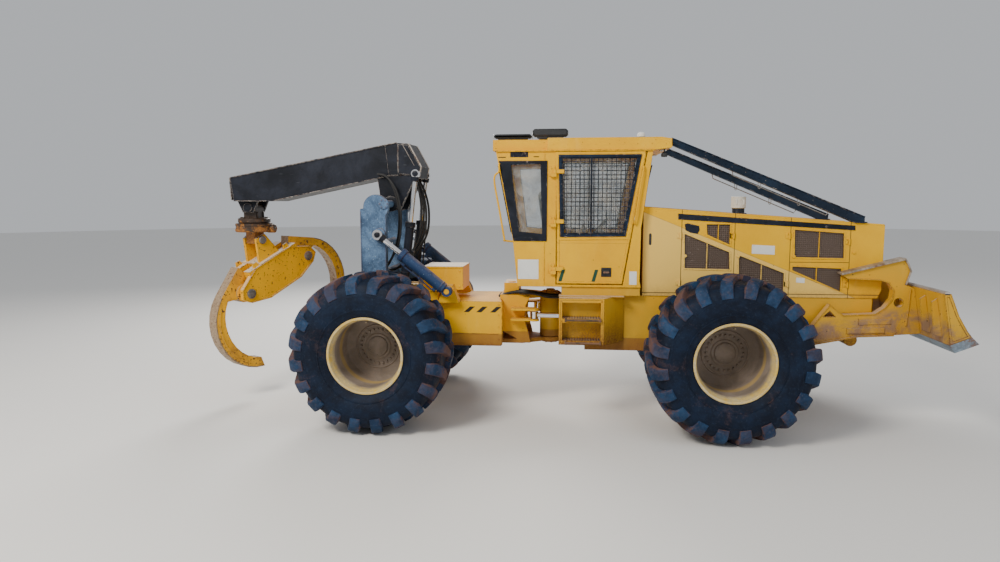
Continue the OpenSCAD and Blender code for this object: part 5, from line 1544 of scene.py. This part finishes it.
def boomHoses():
    # hoses loop forwards from the arch's lower tube up to the beam's foot, two more run outside the right cheek
    made = []
    for i, y in enumerate((-0.15, -0.09, -0.03, 0.05)):
        out = 0.045 * (i % 2)
        made.append(tube(curve([(-0.06, y, 1.69), (0.05, y * 1.1, 1.725), (0.2, y * 1.2, 1.86),
                                (0.33 + out, y * 1.3, 2.12), (0.365 + out, y * 1.2, 2.42),
                                (0.335 + out * 0.5, y * 1.1, 2.68), (0.25, y, 2.88)], 8), 0.014, 10))
    for y, out in ((-0.285, 0.0), (-0.32, 0.03)):
        made.append(tube(curve([(-0.12, y, 1.69), (-0.02, y, 1.8), (0.07 + out, y, 2.02), (0.11 + out, y - 0.004, 2.26),
                                (0.105 + out, y - 0.006, 2.48), (0.05 + out, y, 2.7), (-0.04, y + 0.015, 2.85),
                                (-0.15, y + 0.03, 2.88)], 8), 0.013, 10))
    return joined(*made)


loops = addPiece("boom_hoses", None, hose, moved(boomHoses(), rearAxle), 80)
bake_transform(loops)
print("arch and boom made")

tip = np.array([axleX - 1.865, 0, 0])
tiltZ = 2.06


def yokeTrim():
    # ring of bolts over the swivel, its skirt and the side plates' feet
    ring = boltRing((0, 0, 2.336), 0.16, 12, (0, 0, 1), 0.014, 0.014)
    skirt = lathe([(0.192, 2.278), (0.2, 2.284), (0.2, 2.326), (0.19, 2.336), (0.184, 2.336), (0.184, 2.278)],
                  (0, 0, 0), "z", 56)
    plates = joined(*[box((-0.095, s * 0.085 - 0.016, 2.33), (0.095, s * 0.085 + 0.016, 2.42), 0.01) for s in (-1, 1)])
    return joined(ring, skirt, plates)


def rotatorTrim():
    # rims and bolts of the gear case, its motor, and the tilt pin's ends, drawn before the head is turned
    case = joined(lathe([(0.232, 2.166), (0.238, 2.172), (0.238, 2.196), (0.232, 2.202)], (0, 0, 0), "z", 64),
                  lathe([(0.225, 2.264), (0.236, 2.258), (0.236, 2.24), (0.225, 2.232)], (0, 0, 0), "z", 64),
                  boltRing((0, 0, 2.261), 0.212, 16, (0, 0, 1), 0.01, 0.004))
    motor = joined(disc([(0.053, 0.2), (0.055, 0.21), (0.055, 0.29), (0.045, 0.3)], (-0.02, 0, 2.203), "x", 28),
                   boltRing((0.28, 0, 2.203), 0.034, 4, (1, 0, 0), 0.008, 0.006))
    pins = joined(*[disc([(0.052, s * 0.15), (0.052, s * 0.164), (0.044, s * 0.17)], (0, 0, tiltZ), "y", 32)
                    for s in (-1, 1)])
    return case, motor, pins


rotatorCase, rotatorMotor, tiltPins = rotatorTrim()
addPiece("yoke_trim", "yoke", grease, moved(yokeTrim(), tip))
addPiece("rotator_case", "rotator", grease, moved(joined(rotatorCase, rotatorMotor), tip))
grapple = {"turn": 60, "tilt": 25, "drop": 0.500, "half": 0.220}    # the drop is measured from the tilt pin
addPiece("tilt_pin_ends", "rotator", pinSteel, moved(turned(tiltPins, (0, 0, 1), grapple["turn"]), tip))
dress("yoke", grease)
dress("rotator", grease)
across = (-math.sin(math.radians(grapple["turn"])), math.cos(math.radians(grapple["turn"])), 0.0)


def atGrapple(shape, s=grapple):
    # drawn in the grapple's own plane about its middle, then tilted, turned and hung below the tip
    low = moved(shape, (0, 0, -s["drop"]))
    return moved(turned(turned(low, (0, 1, 0), -s["tilt"]), (0, 0, 1), s["turn"]), tip + (0, 0, tiltZ))


def tongFinish():
    # golden sides with rust spots; the edges of the plate are worn pale
    f = Finish("tongPaint", "worn_yellow_paint")
    flat = facing(f, across).between(0.55, 0.75)
    fine = f.noise(58, 6, 0.7)
    cloud = f.noise(3.2, 5, 0.65)
    colour = f.mix(cloud.between(0.35, 0.7), colours["amber"], (0.5, 0.22, 0.02))
    worn = f.mix(fine.between(0.35, 0.65), (0.4, 0.3, 0.19), (0.24, 0.15, 0.085))
    colour = f.mix(flat, worn, colour)
    spots = f.noise(26, 4, 0.6).between(0.58, 0.64)
    soil = (cloud * 0.6 + fine * 0.4 - (f.z - 0.9) * 0.35).between(0.6, 0.75)
    colour = f.mix(spots.most(soil * 0.7), colour, (0.115, 0.048, 0.022))
    f.feed(Base_Color=colour, Roughness=0.5 + 0.3 * spots + 0.1 * fine)
    f.bump(fine * 0.4 - spots * 0.7, 0.0018, rounding=0.006)
    return f


tongPaint = tongFinish()


def frameTrim(s):
    # pin bosses with their keepers, doubled rims along the side plates and lifting lugs on the top plate
    y = s["half"]
    ends = [disc([(0.062, e * (y - 0.002)), (0.062, e * (y + 0.012)), (0.052, e * (y + 0.018)),
                  (0.01, e * (y + 0.018))], (u, 0, 0), "y", 36) for u in (-0.5, 0.5) for e in (-1, 1)]
    keepers = [bolts([(u + 0.05 * math.cos(a), e * (y + 0.014), 0.05 * math.sin(a)) for a in (0.6, 3.7)], (0, e, 0),
                     0.009, 0.008) for u in (-0.5, 0.5) for e in (-1, 1)]
    cap = disc([(0.05, 0.145), (0.05, 0.158), (0.042, 0.163)], (0, 0, s["drop"]), "y", 32)
    outline = [(-0.635, -0.018), (-0.545, -0.11), (-0.27, -0.2), (0.27, -0.2), (0.545, -0.11), (0.635, -0.018),
               (0.585, 0.1), (0.3, 0.25), (-0.3, 0.25), (-0.585, 0.1)]
    rim = bothSides(border(outline, grown(outline, -0.016), y - 0.004, y + 0.006))
    topPlate = plate(rect(-0.195, -0.215, 0.195, 0.215), 0.248, 0.256, 0.003, "xy")
    ears = [bothSides(plate([(u - 0.05, 0.24), (u + 0.05, 0.24), (u + 0.03, 0.31), (u - 0.03, 0.31)], 0.165, 0.19,
                            0.004)) for u in (-0.26, 0.26)]
    return joined(*ends, *keepers), joined(rim, topPlate, *ears), bothSides(cap)


framePins, frameRims, tiltCaps = frameTrim(grapple)
addPiece("grapple_pins", "grapple", pinSteel, atGrapple(joined(framePins, tiltCaps)))
addPiece("grapple_rims", "grapple", grapplePaint, atGrapple(frameRims))
dress("grapple_frame", grapplePaint)


def tongTrim():
    # wear strips along the outer and the inner curve, the pin's boss and a rib on each face
    a = np.radians(np.arange(58, -70, -6))
    outer = np.stack([0.5 + 0.581 * np.cos(a), -0.42 + 0.611 * np.sin(a)], 1)
    b = np.radians(np.arange(40, -60, -10))
    inner = np.stack([0.49 + 0.453 * np.cos(b), -0.4 + 0.523 * np.sin(b)], 1)
    strips = joined(strap(outer, 0.012, -0.0765, 0.0765), strap(inner, 0.008, -0.06, 0.06))
    boss = joined(*[disc([(0.118, e * 0.073), (0.118, e * 0.088), (0.108, e * 0.094), (0.046, e * 0.094)], (0.5, 0, 0),
                         "y", 40) for e in (-1, 1)])
    ribs = bothSides(strap(np.stack([0.495 + 0.53 * np.cos(a[3:-3]), -0.412 + 0.575 * np.sin(a[3:-3])], 1), 0.02, 0.072,
                           0.081))
    return strips, joined(boss, ribs)


tongEdge = bareSteel("tongEdge", "worn_steel", (0.4, 0.31, 0.21), 0.2, 0.55)
tongStrips, tongBoss = tongTrim()
for side, sign in (("left", 1), ("right", -1)):
    for kind, finish, shape in (("strip", tongEdge, tongStrips), ("boss", tongPaint, tongBoss)):
        facingOut = (shape[0] * (sign, 1, 1), [g[:, ::sign] for g in shape[1]])
        addPiece("tong_%s_%s" % (kind, side), "tong_" + side, finish, atGrapple(facingOut))
    dress("tong_" + side, tongPaint)
print("grapple made")


axleZ = 0.89


def driveTrim(x, y0):
    # bolted flange between an axle's casing and its wheel, one side
    ring = lathe([(0.13, y0), (0.215, y0 + 0.01), (0.22, y0 + 0.05), (0.2, y0 + 0.062), (0.13, y0 + 0.066)],
                 (x, 0, axleZ), "y", 48)
    return joined(ring, boltRing((x, y0 + 0.01, axleZ), 0.195, 16, (0, -1, 0), 0.013, 0.012))


for name, x, body in (("front", 1.95, "front_chassis"), ("rear", -1.95, "rear_chassis")):
    cover = lathe([(0.06, -0.262), (0.12, -0.268), (0.19, -0.25), (0.235, -0.246), (0.235, -0.238), (0.06, -0.238)],
                  (x, 0, axleZ), "x", 48)
    neck = disc([(0.11, -0.25), (0.105, -0.3), (0.075, -0.33), (0.07, -0.35)], (x, 0, axleZ), "x", 32)
    middle = (cover, cover) if name == "front" else (turned(cover, (0, 0, 1), 180, (x, 0, 0)), neck)
    addPiece(name + "_axle_trim", body, mud, moved(joined(bothSides(driveTrim(x, 0.7)), *middle), hitch))
print("axles made")


studio = {"floor": (0.78, 0.77, 0.75), "sky": (0.93, 0.96, 1.0), "skyStrength": 0.55}


def addStudio(s):
    # pale floor disc, an even sky, a large key light from behind the camera's left and two fills
    floor = bpy.data.meshes.new("floor")
    a = np.linspace(0, 2 * np.pi, 96, endpoint=False)
    floor.from_pydata(np.stack([60 * np.cos(a), 60 * np.sin(a), 0 * a], 1).tolist(), [], [list(range(96))])
    pale = bpy.data.materials.new("floorPale")
    pale.use_nodes = True
    pale.node_tree.nodes["Principled BSDF"].inputs["Base Color"].default_value = (*s["floor"], 1)
    pale.node_tree.nodes["Principled BSDF"].inputs["Roughness"].default_value = 0.9
    floor.materials.append(pale)
    ground = bpy.data.objects.new("floor", floor)
    bpy.context.scene.collection.objects.link(ground)
    world = bpy.data.worlds.new("studio")
    world.use_nodes = True
    world.node_tree.nodes["Background"].inputs["Color"].default_value = (*s["sky"], 1)
    world.node_tree.nodes["Background"].inputs["Strength"].default_value = s["skyStrength"]
    bpy.context.scene.world = world
    for name, place, size, power, tint in (("key", (-5.5, -8.5, 9.0), 3.5, 1250, (1.0, 0.94, 0.84)),
                                           ("fill", (9.0, -7.0, 5.0), 6, 200, (0.92, 0.96, 1.0)),
                                           ("back", (-4.0, 9.0, 8.0), 5, 1100, (1.0, 0.97, 0.92))):
        light = bpy.data.objects.new(name, bpy.data.lights.new(name, "AREA"))
        light.data.size, light.data.energy, light.data.color = size, power, tint
        light.location = place
        light.rotation_euler = (Vector((0, 0, 1.2)) - Vector(place)).to_track_quat("-Z", "Y").to_euler()
        bpy.context.scene.collection.objects.link(light)


addStudio(studio)
print("scene ready")
